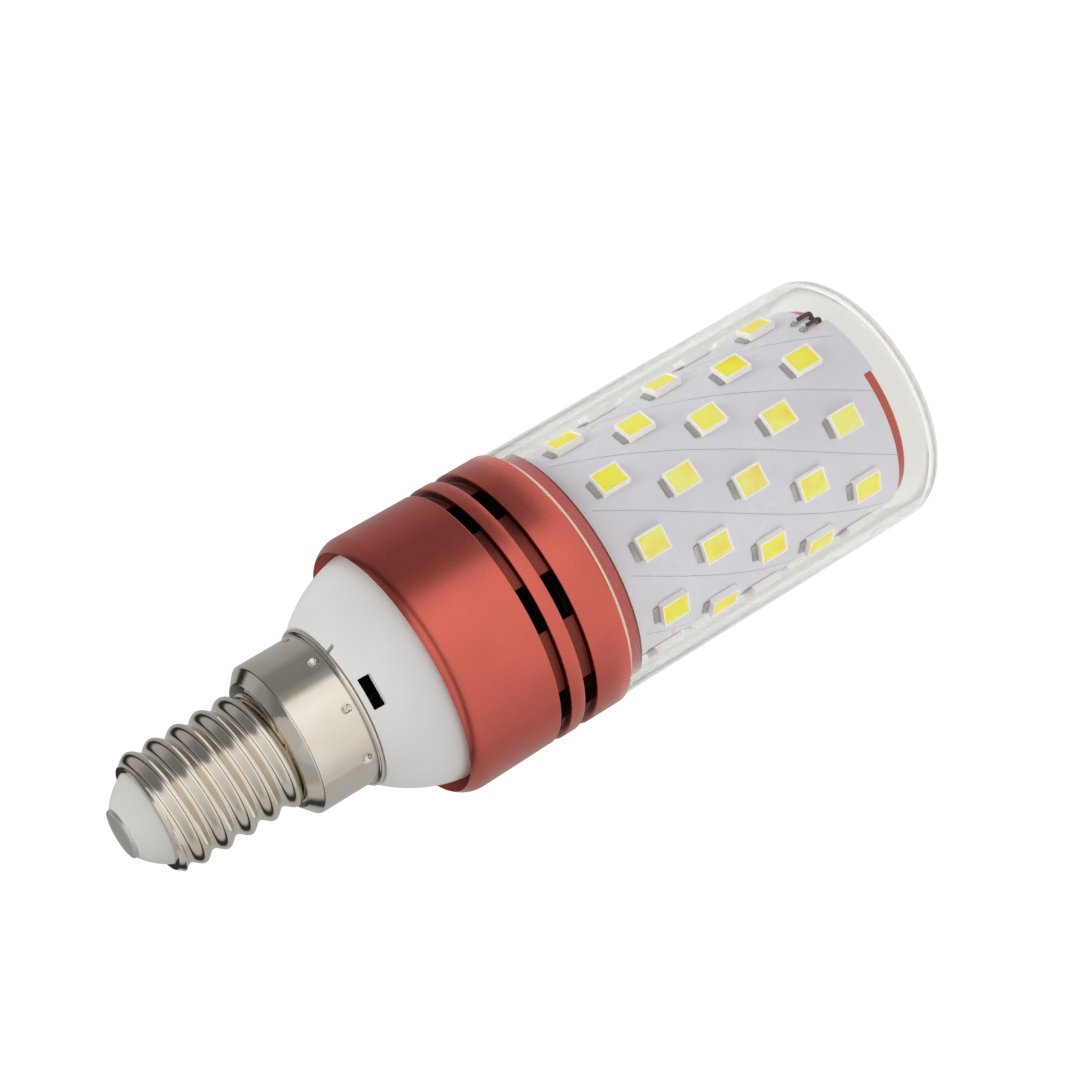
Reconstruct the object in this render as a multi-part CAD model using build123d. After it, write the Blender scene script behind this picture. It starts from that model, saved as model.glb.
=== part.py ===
"""Corn-type LED lamp with a small screw cap, a red heat-sink ring and a clear cover.

The lamp stands on the flat end of its cover, with the screw cap up. Lengths are in
millimetres and angles in degrees. Heights start at the cover's flat end, and the lamp's
axis is Z. Angle 0 is at -Y, and angles turn towards +X.
"""
from build123d import *
import math
import os

# Fits and gaps that several pieces share
slip_gap = 0.06
press_gap = 0.02
seat_gap = 0.05
solder_gap = 0.02

# Clear cover
cover_wall = 1.0
cover_corner = 3.0
cover_to_led = 0.67

# Heat sink, one turned piece with a spigot that carries the cover
ring_step = 0.31
ring_length = 20.45
ring_lip = 1.67
ring_ledge = 0.7
ring_mouth_round = 3.0
spigot_length = 2.25
deck_thickness = 3.0
groove_depth = 1.0
groove_offsets = (4.55, 7.95)
groove_widths = (1.6, 1.3)
slot_count = 7
slot_span = 21.0
slot_angle = -7.0

# LED core, a drawn tube with a closed end
core_radius = 12.05
core_wall = 0.8
core_end_gap = 4.0
core_edge_round = 0.25

# LED board wrapped round the core in slanting fingers
board_wall = 0.5
board_end_gap = 1.4
board_band = 1.6
finger_count = 10
finger_lead = 139.0
finger_angle = 15.4
seam_width = 0.22
tab_angle = 25.5
tab_span = 37.0

# LED packages
led_length = 3.5
led_width = 2.8
led_height = 0.8
led_window_length = 3.1
led_window_width = 2.45
led_window_depth = 0.3
phosphor_drop = 0.05
led_rows = 5
led_row_pitch = 6.72
led_first_row = 5.0
led_last_row = 5.32
terminal_length = 0.7
terminal_width = 2.2
terminal_height = 0.18

# Driver housing, a white bowl with a sleeve below and a collar above
sleeve_gap = 0.15
sleeve_depth = 7.25
bowl_start = 1.1
bowl_rise = 6.3
bowl_step = 0.05
bowl_bulge = 0.65
housing_wall = 1.2
collar_wall = 1.2
collar_gap = 0.05
collar_headroom = 1.6
vent_count = 3
vent_angle = -3.0
vent_width = 3.9
vent_rise = 1.5

# Screw cap shell, thin sheet metal with a rolled thread
shell_wall = 0.25
lip_reach = 0.57
lip_height = 1.2
lip_chamfer = 0.25
skirt_reach = 1.885
skirt_length = 7.85
shoulder_rise = 1.25
shoulder_reach = 1.4
shoulder_round = 0.45
crest_radius = 6.945
thread_depth = 0.8
thread_pitch = 2.822
thread_length = 14.75
thread_angle = -80.0
thread_sides = 40
thread_levels = 8
front_step = 0.095
front_taper = 1.2
flange_width = 0.65
dimple_count = 9
dimple_angle = -4.9
dimple_rise = 2.35
dimple_radius = 0.7
dimple_depth = 0.42

# Cap insulator and centre contact
insulator_rise = 2.85
insulator_plug = 3.0
insulator_bulge = 0.22
stem_radius = 0.9
contact_radius = 2.8
contact_seat = 0.1
contact_thickness = 0.45
contact_edge = 0.2

# Driver board and what stands on it
driver_board_thickness = 1.0
driver_board_gap = 0.15
capacitor_radius = 4.0
capacitor_height = 11.5
capacitor_place = (4.2, 1.6)
film_size = (7.2, 3.6, 6.2)
film_place = (-4.6, -5.6)
inductor_radius = 3.0
inductor_waist = 2.1
inductor_height = 6.0
inductor_flange = 0.8
inductor_place = (-6.2, 2.6)
fuse_radius = 1.3
fuse_length = 6.5
fuse_place = (0.4, -9.0)
fuse_lift = 0.6
rectifier_size = (4.7, 3.9, 1.6)
rectifier_place = (-5.0, -4.0)
chip_size = (4.9, 3.9, 1.5)
chip_place = (4.0, 4.0)
resistor_size = (3.2, 1.6, 0.6)
resistor_places = ((4.5, -3.0), (4.5, -5.6), (-4.5, 3.4))
leg_size = (0.4, 1.0, 0.5)

# Wires
wire_radius = 0.45
lead_radius = 0.3
live_place = (-1.2, 6.6)
neutral_place = (0.4, -5.6)
neutral_angle = -20.0
neutral_run = 3.0
live_turn = 2.0
live_bend = 2.0
neutral_bend = 0.8
lead_angles = (45.5, 52.5)
lead_end_rise = 1.1
lead_tuck = 0.35
solder_radius = 0.5
solder_height = 0.35

# Heights and radii that follow
board_radius = core_radius + press_gap + board_wall
led_base = board_radius + solder_gap
cover_radius = led_base + led_height + cover_to_led + cover_wall
ring_radius = cover_radius + ring_step
ring_mouth = ring_radius - ring_lip
ring_bore = ring_mouth - ring_ledge
board_length = led_first_row + (led_rows - 1) * led_row_pitch + led_last_row
cover_length = core_end_gap + board_end_gap + board_length + spigot_length
ring_low = cover_length
ring_top = ring_low + ring_length
spigot_low = ring_low - spigot_length
spigot_radius = cover_radius - cover_wall - slip_gap
deck_top = spigot_low + deck_thickness
core_low = core_end_gap
board_low = core_low + board_end_gap
driver_top = ring_top - sleeve_depth
driver_low = driver_top - driver_board_thickness
sleeve_radius = ring_mouth - sleeve_gap
bowl_low = ring_top - bowl_start
bowl_top = ring_top + bowl_rise
root_radius = crest_radius - thread_depth
front_radius = root_radius - front_step
flange_hole = front_radius - flange_width
skirt_radius = crest_radius + skirt_reach
lip_radius = skirt_radius + lip_reach
bowl_top_radius = lip_radius + bowl_step
skirt_low = bowl_top + seat_gap
skirt_top = skirt_low + skirt_length
shoulder_top = skirt_top + shoulder_rise
thread_top = shoulder_top + thread_length
insulator_top = thread_top + insulator_rise
contact_top = insulator_top + contact_thickness
skirt_inside = skirt_radius - shell_wall
collar_radius = skirt_inside - collar_gap
collar_inside = collar_radius - collar_wall
collar_top = skirt_top - collar_headroom
flank_arc = ((thread_pitch / 2) ** 2 + thread_depth ** 2) / (4 * thread_depth)
finger_twist = 360 / finger_lead


def turned(*corners):
    """A solid of revolution from (radius, height) corners."""
    outline = Polyline(*corners, close=True)
    return revolve(Plane.XZ * make_face(outline), Axis.Z)


def turned_face(line):
    """A solid of revolution from closed lines drawn as (radius, height)."""
    return revolve(Plane.XZ * make_face(line), Axis.Z)


def at_angle(angle, shape):
    """Turns a shape from the +X side to an angle round the lamp."""
    return Rot(0, 0, angle - 90) * shape


def spread(count, first, shape):
    """Copies of a shape, evenly round the axis."""
    return [at_angle(first + i * 360 / count, shape) for i in range(count)]


def wire(points, radius, bend):
    """A round wire along straight runs with rounded corners."""
    path = FilletPolyline(*points, radius=bend)
    section = Plane(origin=path @ 0, z_dir=path % 0) * Circle(radius)
    return sweep(section, path=path)


def clear_cover():
    """Thin clear beaker with a rounded edge and a flat end."""
    outer = Cylinder(cover_radius, cover_length, align=(Align.CENTER, Align.CENTER, Align.MIN))
    outer = fillet(outer.edges().group_by(Axis.Z)[0], cover_corner)
    inner = Pos(0, 0, cover_wall) * Cylinder(
        cover_radius - cover_wall, cover_length, align=(Align.CENTER, Align.CENTER, Align.MIN))
    inner = fillet(inner.edges().group_by(Axis.Z)[0], cover_corner - cover_wall)
    return outer - inner


def heat_sink():
    """Turned ring with a deck, a spigot, two grooves and slots through the grooves."""
    fall = math.sqrt(ring_mouth_round ** 2 - (ring_mouth_round - ring_radius + ring_mouth) ** 2)
    round_low = ring_top - fall
    arc_middle = math.acos((ring_mouth_round - ring_radius + ring_mouth) / ring_mouth_round) / 2
    centre = ring_radius - ring_mouth_round
    middle = (centre + ring_mouth_round * math.cos(arc_middle),
              round_low + ring_mouth_round * math.sin(arc_middle))
    bore = core_radius + press_gap
    outline = Polyline(
        (ring_mouth, ring_top), (ring_mouth, driver_low), (ring_bore, driver_low),
        (ring_bore, deck_top), (bore, deck_top), (bore, spigot_low), (spigot_radius, spigot_low),
        (spigot_radius, ring_low), (ring_radius, ring_low), (ring_radius, round_low))
    body = turned_face(outline + ThreePointArc((ring_radius, round_low), middle, (ring_mouth, ring_top)))
    for offset, width in zip(groove_offsets, groove_widths):
        low = ring_low + offset
        body -= turned(
            (ring_radius - groove_depth, low), (ring_radius + 1, low),
            (ring_radius + 1, low + width), (ring_radius - groove_depth, low + width))
        body -= spread(slot_count, slot_angle, slot_cutter(low, width))
    return body


def slot_cutter(low, width):
    """A slice of a ring that opens one slot in a groove's floor."""
    inside = ring_bore - 1
    ring = turned((inside, low), (ring_radius, low), (ring_radius, low + width), (inside, low + width))
    reach = ring_radius * 2
    half = math.radians(slot_span / 2)
    wedge = Polyline(
        (0, 0), (reach, -reach * math.tan(half)), (reach, reach * math.tan(half)), close=True)
    return ring & Pos(0, 0, low) * extrude(make_face(wedge), width)


def lead_notches(low, height, reach, width):
    """Openings that the two LED leads pass through."""
    notch = Pos(reach / 2 + core_radius - core_wall * 2, 0, low + height / 2) * Box(reach, width, height)
    return [at_angle(angle, notch) for angle in lead_angles]


def led_core():
    """Drawn tube with a closed lower end and two lead notches."""
    length = deck_top - core_low
    outer = Pos(0, 0, core_low) * Cylinder(
        core_radius, length, align=(Align.CENTER, Align.CENTER, Align.MIN))
    outer = fillet(outer.edges().group_by(Axis.Z)[0], core_edge_round)
    inner = Pos(0, 0, core_low + core_wall) * Cylinder(
        core_radius - core_wall, length, align=(Align.CENTER, Align.CENTER, Align.MIN))
    return outer - inner - lead_notches(core_low, board_end_gap, core_wall * 4, lead_radius * 3)


def led_board():
    """Wrapped board with slanting seams and a tab that reaches the core's end."""
    length = board_length - seat_gap
    inside = core_radius + press_gap
    body = turned((inside, board_low), (board_radius, board_low),
                  (board_radius, board_low + length), (inside, board_low + length))
    slit = Pos(inside + board_wall / 2, 0) * Rectangle(board_wall * 3, seam_width)
    slit_length = length - board_band
    cutter = Solid.extrude_linear_with_rotation(
        slit.face(), center=(0, 0, board_low - 1), normal=(0, 0, slit_length + 1),
        angle=finger_twist * (slit_length + 1))
    pitch = 360 / finger_count
    seam = finger_angle - pitch / 2 - finger_twist
    body -= spread(finger_count, seam, Pos(0, 0, board_low - 1) * cutter)
    half = math.radians(tab_span / 2)
    reach = board_radius * 2
    wedge = Polyline(
        (0, 0), (reach, -reach * math.tan(half)), (reach, reach * math.tan(half)), close=True)
    tab = turned(
        (inside, core_low), (board_radius, core_low), (board_radius, board_low), (inside, board_low))
    tab &= Pos(0, 0, core_low) * extrude(make_face(at_angle(tab_angle, wedge)), board_end_gap)
    return body + tab


def led_places():
    """Angle and height of every LED, finger by finger."""
    places = []
    for finger in range(finger_count):
        for row in range(led_rows):
            rise = led_first_row + row * led_row_pitch
            angle = finger_angle + finger * 360 / finger_count + rise * finger_twist
            places.append((angle, board_low + rise))
    return places


def on_led(shape):
    """Copies of a shape, one for each LED."""
    return Compound([at_angle(angle, Pos(0, 0, height) * shape) for angle, height in led_places()])


def led_frames():
    """White LED packages, each with a window for its phosphor."""
    block = Pos(led_base + led_height / 2, 0, 0) * Box(led_height, led_width, led_length)
    window = Pos(led_base + led_height - led_window_depth / 2, 0, 0) * Box(
        led_window_depth, led_window_width, led_window_length)
    return on_led(block - window)


def led_phosphors():
    """Yellow filling of each LED window."""
    thickness = led_window_depth - phosphor_drop
    middle = led_base + led_height - led_window_depth + thickness / 2
    return on_led(Pos(middle, 0, 0) * Box(thickness, led_window_width, led_window_length))


def led_terminals():
    """Tinned joints at both ends of each LED."""
    step = led_length / 2 + terminal_length / 2
    block = Box(terminal_height, terminal_width, terminal_length)
    middle = led_base + terminal_height / 2
    pair = [Pos(middle, 0, side * step) * block for side in (-1, 1)]
    return Compound([solid for blocks in pair for solid in on_led(blocks).solids()])


def driver_housing():
    """White bowl with a sleeve in the heat sink and a collar in the screw cap."""
    outline = Polyline(
        (bowl_top_radius, bowl_top), (collar_radius, bowl_top), (collar_radius, collar_top),
        (collar_inside, collar_top), (collar_inside, bowl_top - housing_wall),
        (bowl_top_radius - housing_wall, bowl_top - housing_wall))
    outline += SagittaArc(
        (bowl_top_radius - housing_wall, bowl_top - housing_wall), (sleeve_radius - housing_wall, bowl_low),
        bowl_bulge)
    outline += Polyline(
        (sleeve_radius - housing_wall, bowl_low), (sleeve_radius - housing_wall, driver_top + seat_gap),
        (sleeve_radius, driver_top + seat_gap), (sleeve_radius, bowl_low))
    outline += SagittaArc((sleeve_radius, bowl_low), (bowl_top_radius, bowl_top), -bowl_bulge)
    body = turned_face(outline)
    hole = Pos(bowl_top_radius, 0, bowl_top - vent_rise / 2) * Box(housing_wall * 4, vent_width, vent_rise)
    body -= spread(vent_count, vent_angle, hole)
    recess_depth = dimple_depth + shell_wall + collar_gap
    recess_middle = collar_radius - recess_depth / 2 + collar_gap
    recess = Pos(recess_middle, 0, skirt_low + dimple_rise) * Rot(0, 90, 0) * Cylinder(
        dimple_radius + shell_wall + collar_gap, recess_depth)
    return body - spread(dimple_count, dimple_angle, recess)


def thread_radius(angle, height):
    """Radius of the rolled thread at an angle and height, with its run-out at the front."""
    turn = ((height - thread_top) / thread_pitch - (angle - thread_angle) / 360) % 1
    across = min(turn, 1 - turn) * thread_pitch
    if across <= thread_pitch / 4:
        radius = crest_radius - flank_arc + math.sqrt(flank_arc ** 2 - across ** 2)
    else:
        left = thread_pitch / 2 - across
        radius = root_radius + flank_arc - math.sqrt(flank_arc ** 2 - left ** 2)
    return min(radius, front_radius + (thread_top - height) / front_taper)


def thread_ring(height):
    """Corners of the thread's outline at one height."""
    ring = []
    for side in range(thread_sides):
        angle = 360 * side / thread_sides
        radius = thread_radius(angle, height)
        turn = math.radians(angle - 90)
        ring.append(Vector(radius * math.cos(turn), radius * math.sin(turn), height))
    return ring


def thread_solid(start):
    """Rolled thread as a faceted bar from a height up to the shell's front."""
    levels = round((thread_top - start) / thread_pitch * thread_levels)
    rings = [thread_ring(start + (thread_top - start) * level / levels) for level in range(levels + 1)]
    faces = [Face(Wire.make_polygon(rings[0])), Face(Wire.make_polygon(rings[-1]))]
    for below, above in zip(rings, rings[1:]):
        for side in range(thread_sides):
            a, b = below[side - 1], below[side]
            c, d = above[side], above[side - 1]
            faces.append(Face(Wire.make_polygon([a, b, c])))
            faces.append(Face(Wire.make_polygon([a, c, d])))
    return Solid(Shell(faces))


def shell_bell(inset):
    """The skirt and the stepped shoulder as a full solid, moved inwards by inset."""
    skirt = skirt_radius - inset
    edge = skirt_radius - shoulder_reach - inset
    neck = root_radius - inset
    slope = math.atan2(shoulder_rise, shoulder_reach)
    corner = skirt_top - inset * math.tan(slope / 2)
    ledge = shoulder_top - inset
    bend_low = corner - shoulder_round
    side = Polyline((neck, ledge), (0, ledge), (0, skirt_low), (skirt, skirt_low), (skirt, bend_low))
    side += FilletPolyline(
        (skirt, bend_low), (skirt, corner), (edge, ledge), (neck, ledge), radius=shoulder_round)
    return turned_face(side)


def screw_shell():
    """Thin threaded shell with a skirt, a lip, crimp dimples and a turned-in front."""
    lip_top = skirt_low + lip_height
    lip = turned(
        (skirt_inside, skirt_low), (lip_radius - lip_chamfer, skirt_low),
        (lip_radius, skirt_low + lip_chamfer), (lip_radius, lip_top - lip_chamfer),
        (skirt_radius, lip_top), (skirt_inside, lip_top))
    height = skirt_low + dimple_rise
    tip = skirt_radius - dimple_depth
    press = Pos(0, 0, height) * Rot(0, 90, 0)
    bump = press * Pos(0, 0, tip - shell_wall) * Cone(
        dimple_radius * 0.5 + shell_wall, dimple_radius + shell_wall * 0.5,
        dimple_depth + shell_wall * 0.5, align=(Align.CENTER, Align.CENTER, Align.MIN))
    dent = press * Pos(0, 0, tip) * Cone(
        dimple_radius * 0.5, dimple_radius * 1.5, dimple_depth * 2,
        align=(Align.CENTER, Align.CENTER, Align.MIN))
    bell = shell_bell(0) - shell_bell(shell_wall) + lip
    bell = bell + spread(dimple_count, dimple_angle, bump)
    bell = bell - spread(dimple_count, dimple_angle, dent)
    body = bell + thread_solid(shoulder_top - shell_wall)
    bore = root_radius - shell_wall
    inner_top = thread_top - shell_wall
    body -= turned((0, shoulder_top - 1), (bore, shoulder_top - 1), (bore, inner_top), (0, inner_top))
    return body - Pos(0, 0, thread_top) * Cylinder(flange_hole, shell_wall * 4)


def cap_insulator():
    """White plastic cone with a plug inside the shell and a bore for the contact."""
    plug = root_radius - shell_wall - seat_gap * 2
    under = thread_top - shell_wall - seat_gap
    rim = flange_hole - seat_gap
    top_radius = contact_radius + contact_seat
    outline = Polyline(
        (top_radius, insulator_top), (stem_radius, insulator_top),
        (stem_radius, under - insulator_plug), (plug, under - insulator_plug), (plug, under),
        (rim, under), (rim, thread_top))
    outline += SagittaArc((rim, thread_top), (top_radius, insulator_top), -insulator_bulge)
    return turned_face(outline)


def centre_contact():
    """Pressed contact with a hollow stem for the live wire."""
    stem_low = thread_top - insulator_plug
    stem = stem_radius - seat_gap
    hollow = stem - shell_wall
    return turned(
        (0, contact_top), (contact_radius - contact_edge * 2, contact_top),
        (contact_radius, contact_top - contact_edge), (contact_radius, insulator_top),
        (stem, insulator_top), (stem, stem_low), (hollow, stem_low), (hollow, insulator_top),
        (0, insulator_top))


def driver_board():
    """Round board between the heat sink's ledge and the housing's sleeve."""
    radius = ring_mouth - driver_board_gap
    return Pos(0, 0, driver_low) * Cylinder(
        radius, driver_board_thickness, align=(Align.CENTER, Align.CENTER, Align.MIN))


def stand(place, shape):
    """Puts a shape on top of the driver board."""
    return Pos(place[0], place[1], driver_top) * shape


def hang(place, size):
    """A block under the driver board, with its legs' height kept free."""
    return Pos(place[0], place[1], driver_low - size[2] / 2) * Box(*size)


def electrolytic_capacitor():
    """Upright can with a rolled groove near its foot."""
    can = turned(
        (0, 0), (capacitor_radius, 0), (capacitor_radius, 1.2), (capacitor_radius - 0.35, 1.6),
        (capacitor_radius, 2.0), (capacitor_radius, capacitor_height - 0.4),
        (capacitor_radius - 0.4, capacitor_height), (0, capacitor_height))
    return stand(capacitor_place, can)


def film_capacitor():
    """Boxed film capacitor with rounded top edges."""
    box = Pos(0, 0, film_size[2] / 2) * Box(*film_size)
    box = chamfer(box.edges().group_by(Axis.Z)[-1], 0.4)
    return stand(film_place, box)


def inductor():
    """Drum core with its winding between two flanges."""
    upper = inductor_height - inductor_flange
    drum = turned(
        (0, 0), (inductor_radius, 0), (inductor_radius, inductor_flange),
        (inductor_waist, inductor_flange), (inductor_waist, upper), (inductor_radius, upper),
        (inductor_radius, inductor_height), (0, inductor_height))
    return stand(inductor_place, drum)


def inductor_winding():
    """Copper winding on the drum core."""
    low = inductor_flange
    high = inductor_height - inductor_flange
    inside = inductor_waist + press_gap
    outside = inductor_radius - 0.3
    return stand(inductor_place, turned((inside, low), (outside, low), (outside, high), (inside, high)))


def fuse_resistor():
    """Axial fusible resistor that lies on two bent legs."""
    height = fuse_lift + fuse_radius
    body = Pos(0, 0, height) * Rot(0, 90, 0) * Cylinder(fuse_radius, fuse_length)
    body = fillet(body.edges(), fuse_radius * 0.3)
    leg_x = fuse_length / 2 + 1.2
    reach = leg_x - fuse_length / 4
    legs = []
    for side in (-1, 1):
        points = [(side * fuse_length / 4, 0, height), (side * leg_x, 0, height), (side * leg_x, 0, 0)]
        legs.append(wire(points, lead_radius, min(0.6, reach / 3)))
    return stand(fuse_place, body + legs)


def legged_block(place, size):
    """Surface-mount package with two legs on each long side."""
    body = hang(place, size)
    for side in (-1, 1):
        for step in (-1, 1):
            x = place[0] + step * size[0] / 4
            y = place[1] + side * (size[1] / 2 + leg_size[1] / 2)
            body += Pos(x, y, driver_low - leg_size[2] / 2) * Box(*leg_size)
    return body


def sense_resistors():
    """Flat chip resistors under the board."""
    return Compound([hang(place, resistor_size) for place in resistor_places])


def live_wire():
    """From the centre contact's stem down to the driver board."""
    top = thread_top - insulator_plug - seat_gap
    turn = collar_top - live_turn
    x, y = live_place
    middle = driver_top + capacitor_height / 2
    route = [(0, 0, top), (0, 0, turn), (x, y, middle), (x, y, driver_top)]
    return wire(route, wire_radius, live_bend)


def neutral_wire():
    """From the driver board up to the inside of the screw shell's shoulder."""
    x, y = neutral_place
    angle = math.radians(neutral_angle - 90)
    reach = collar_inside - wire_radius * 2
    end = skirt_inside - seat_gap
    high = collar_top + wire_radius + seat_gap
    route = [
        (x, y, driver_top), (x, y, driver_top + film_size[2]),
        (reach * math.cos(angle), reach * math.sin(angle), collar_top - neutral_run),
        (reach * math.cos(angle), reach * math.sin(angle), high),
        (end * math.cos(angle), end * math.sin(angle), high)]
    return wire(route, wire_radius, neutral_bend)


def led_leads():
    """Two thin leads down inside the core, out through its notches and back on the board."""
    leads = []
    inside = core_radius - core_wall - lead_radius * 2
    outside = board_radius + lead_radius + seat_gap
    level = core_low + lead_tuck + lead_radius
    for angle in lead_angles:
        route = [(inside, 0, driver_low), (inside, 0, level), (outside, 0, level),
                 (outside, 0, board_low + lead_end_rise)]
        leads.append(at_angle(angle, wire(route, lead_radius, lead_radius * 1.3)))
    return Compound(leads)


def lead_solder():
    """Solder joints that hold the leads on the board's far end."""
    top = board_low + lead_end_rise + seat_gap
    drop = Pos(board_radius + seat_gap, 0, top + solder_radius) * Rot(0, 90, 0) * Cone(
        solder_radius, solder_radius * 0.5, solder_height, align=(Align.CENTER, Align.CENTER, Align.MIN))
    return Compound([at_angle(angle, drop) for angle in lead_angles])


pieces = {
    "clear_cover": clear_cover,
    "heat_sink": heat_sink,
    "led_core": led_core,
    "led_board": led_board,
    "led_frames": led_frames,
    "led_phosphors": led_phosphors,
    "led_terminals": led_terminals,
    "led_leads": led_leads,
    "lead_solder": lead_solder,
    "driver_housing": driver_housing,
    "screw_shell": screw_shell,
    "cap_insulator": cap_insulator,
    "centre_contact": centre_contact,
    "driver_board": driver_board,
    "electrolytic_capacitor": electrolytic_capacitor,
    "film_capacitor": film_capacitor,
    "inductor_core": inductor,
    "inductor_winding": inductor_winding,
    "fuse_resistor": fuse_resistor,
    "bridge_rectifier": lambda: legged_block(rectifier_place, rectifier_size),
    "driver_chip": lambda: legged_block(chip_place, chip_size),
    "sense_resistors": sense_resistors,
    "live_wire": live_wire,
    "neutral_wire": neutral_wire,
}

os.makedirs("parts", exist_ok=True)
for name, make in pieces.items():
    export_step(make(), "parts/" + name + ".step")
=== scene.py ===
"""Dressed model of an LED corn lamp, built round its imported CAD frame.

The lamp stands on the flat end of its cover with the screw cap up. Outlines are given as
(radius, height) in millimetres. Angle 0 is at -Y, where the camera stands, and angles turn
towards +X, as in the frame.
"""

import math
import random

import bpy
from mathutils import Matrix, Vector


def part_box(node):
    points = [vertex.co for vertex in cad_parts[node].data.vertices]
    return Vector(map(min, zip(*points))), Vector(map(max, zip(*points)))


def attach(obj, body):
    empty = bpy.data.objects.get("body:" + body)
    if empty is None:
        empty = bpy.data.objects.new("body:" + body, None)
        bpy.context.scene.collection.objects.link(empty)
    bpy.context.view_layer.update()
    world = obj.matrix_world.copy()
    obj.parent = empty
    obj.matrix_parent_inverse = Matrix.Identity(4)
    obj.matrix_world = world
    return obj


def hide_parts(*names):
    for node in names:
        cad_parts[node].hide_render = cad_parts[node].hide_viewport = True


bl_info = {
    "name": "LED corn lamp",
    "version": (1, 0, 0),
    "blender": (4, 5, 0),
    "location": "3D View > Sidebar > Lamp",
    "description": "Models an LED corn lamp piece by piece, with its materials and a studio",
    "category": "Object",
}

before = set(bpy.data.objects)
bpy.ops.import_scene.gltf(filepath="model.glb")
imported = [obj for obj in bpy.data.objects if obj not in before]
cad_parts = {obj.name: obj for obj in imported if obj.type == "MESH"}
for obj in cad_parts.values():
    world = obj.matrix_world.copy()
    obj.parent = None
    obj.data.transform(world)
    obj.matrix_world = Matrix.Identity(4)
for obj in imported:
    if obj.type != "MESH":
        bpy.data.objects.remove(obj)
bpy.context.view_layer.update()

MM = 0.001
AXIS_RADIUS = 0.001
BODY = "root"


def reach(node):
    """Outer radius of a CAD node, in millimetres."""
    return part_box(node)[1].x / MM


def low(node):
    """Lowest height of a CAD node, in millimetres."""
    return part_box(node)[0].z / MM


def high(node):
    """Highest height of a CAD node, in millimetres."""
    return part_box(node)[1].z / MM


# Heights and radii that the CAD frame gives
COVER_RADIUS = reach("clear_cover")
RING_LOW = high("clear_cover")
RING_RADIUS = reach("heat_sink")
RING_TOP = high("heat_sink")
SPIGOT_LOW = low("heat_sink")
CORE_RADIUS = reach("led_core")
CORE_LOW = low("led_core")
CORE_TOP = high("led_core")
BOARD_RADIUS = reach("led_board")
BOARD_TOP = high("led_board")
DRIVER_LOW = low("driver_board")
SLEEVE_RADIUS = reach("driver_housing")
SLEEVE_LOW = low("driver_housing")
COLLAR_TOP = high("driver_housing")
SHELL_LOW = low("screw_shell")
SHELL_TOP = high("screw_shell")
LIP_RADIUS = reach("screw_shell")
PLUG_RADIUS = reach("cap_insulator")
PLUG_LOW = low("cap_insulator")
INSULATOR_TOP = high("cap_insulator")
CONTACT_RADIUS = reach("centre_contact")
CONTACT_TOP = high("centre_contact")
STEM_LOW = low("centre_contact")


def length(name, default, description):
    """A length property whose default is given in millimetres."""
    return bpy.props.FloatProperty(
        name=name, description=description, default=default * MM, min=0.0, precision=5,
        unit="LENGTH", subtype="DISTANCE")


def angle(name, default, description):
    """An angle property whose default is given in degrees."""
    return bpy.props.FloatProperty(
        name=name, description=description, default=math.radians(default), unit="ROTATION",
        subtype="ANGLE")


def count(name, default, description):
    """A whole number of like features."""
    return bpy.props.IntProperty(name=name, description=description, default=default, min=1)


def colour(name, default, description):
    """A linear colour."""
    return bpy.props.FloatVectorProperty(
        name=name, description=description, default=default, size=3, min=0.0, max=1.0,
        subtype="COLOR")


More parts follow.
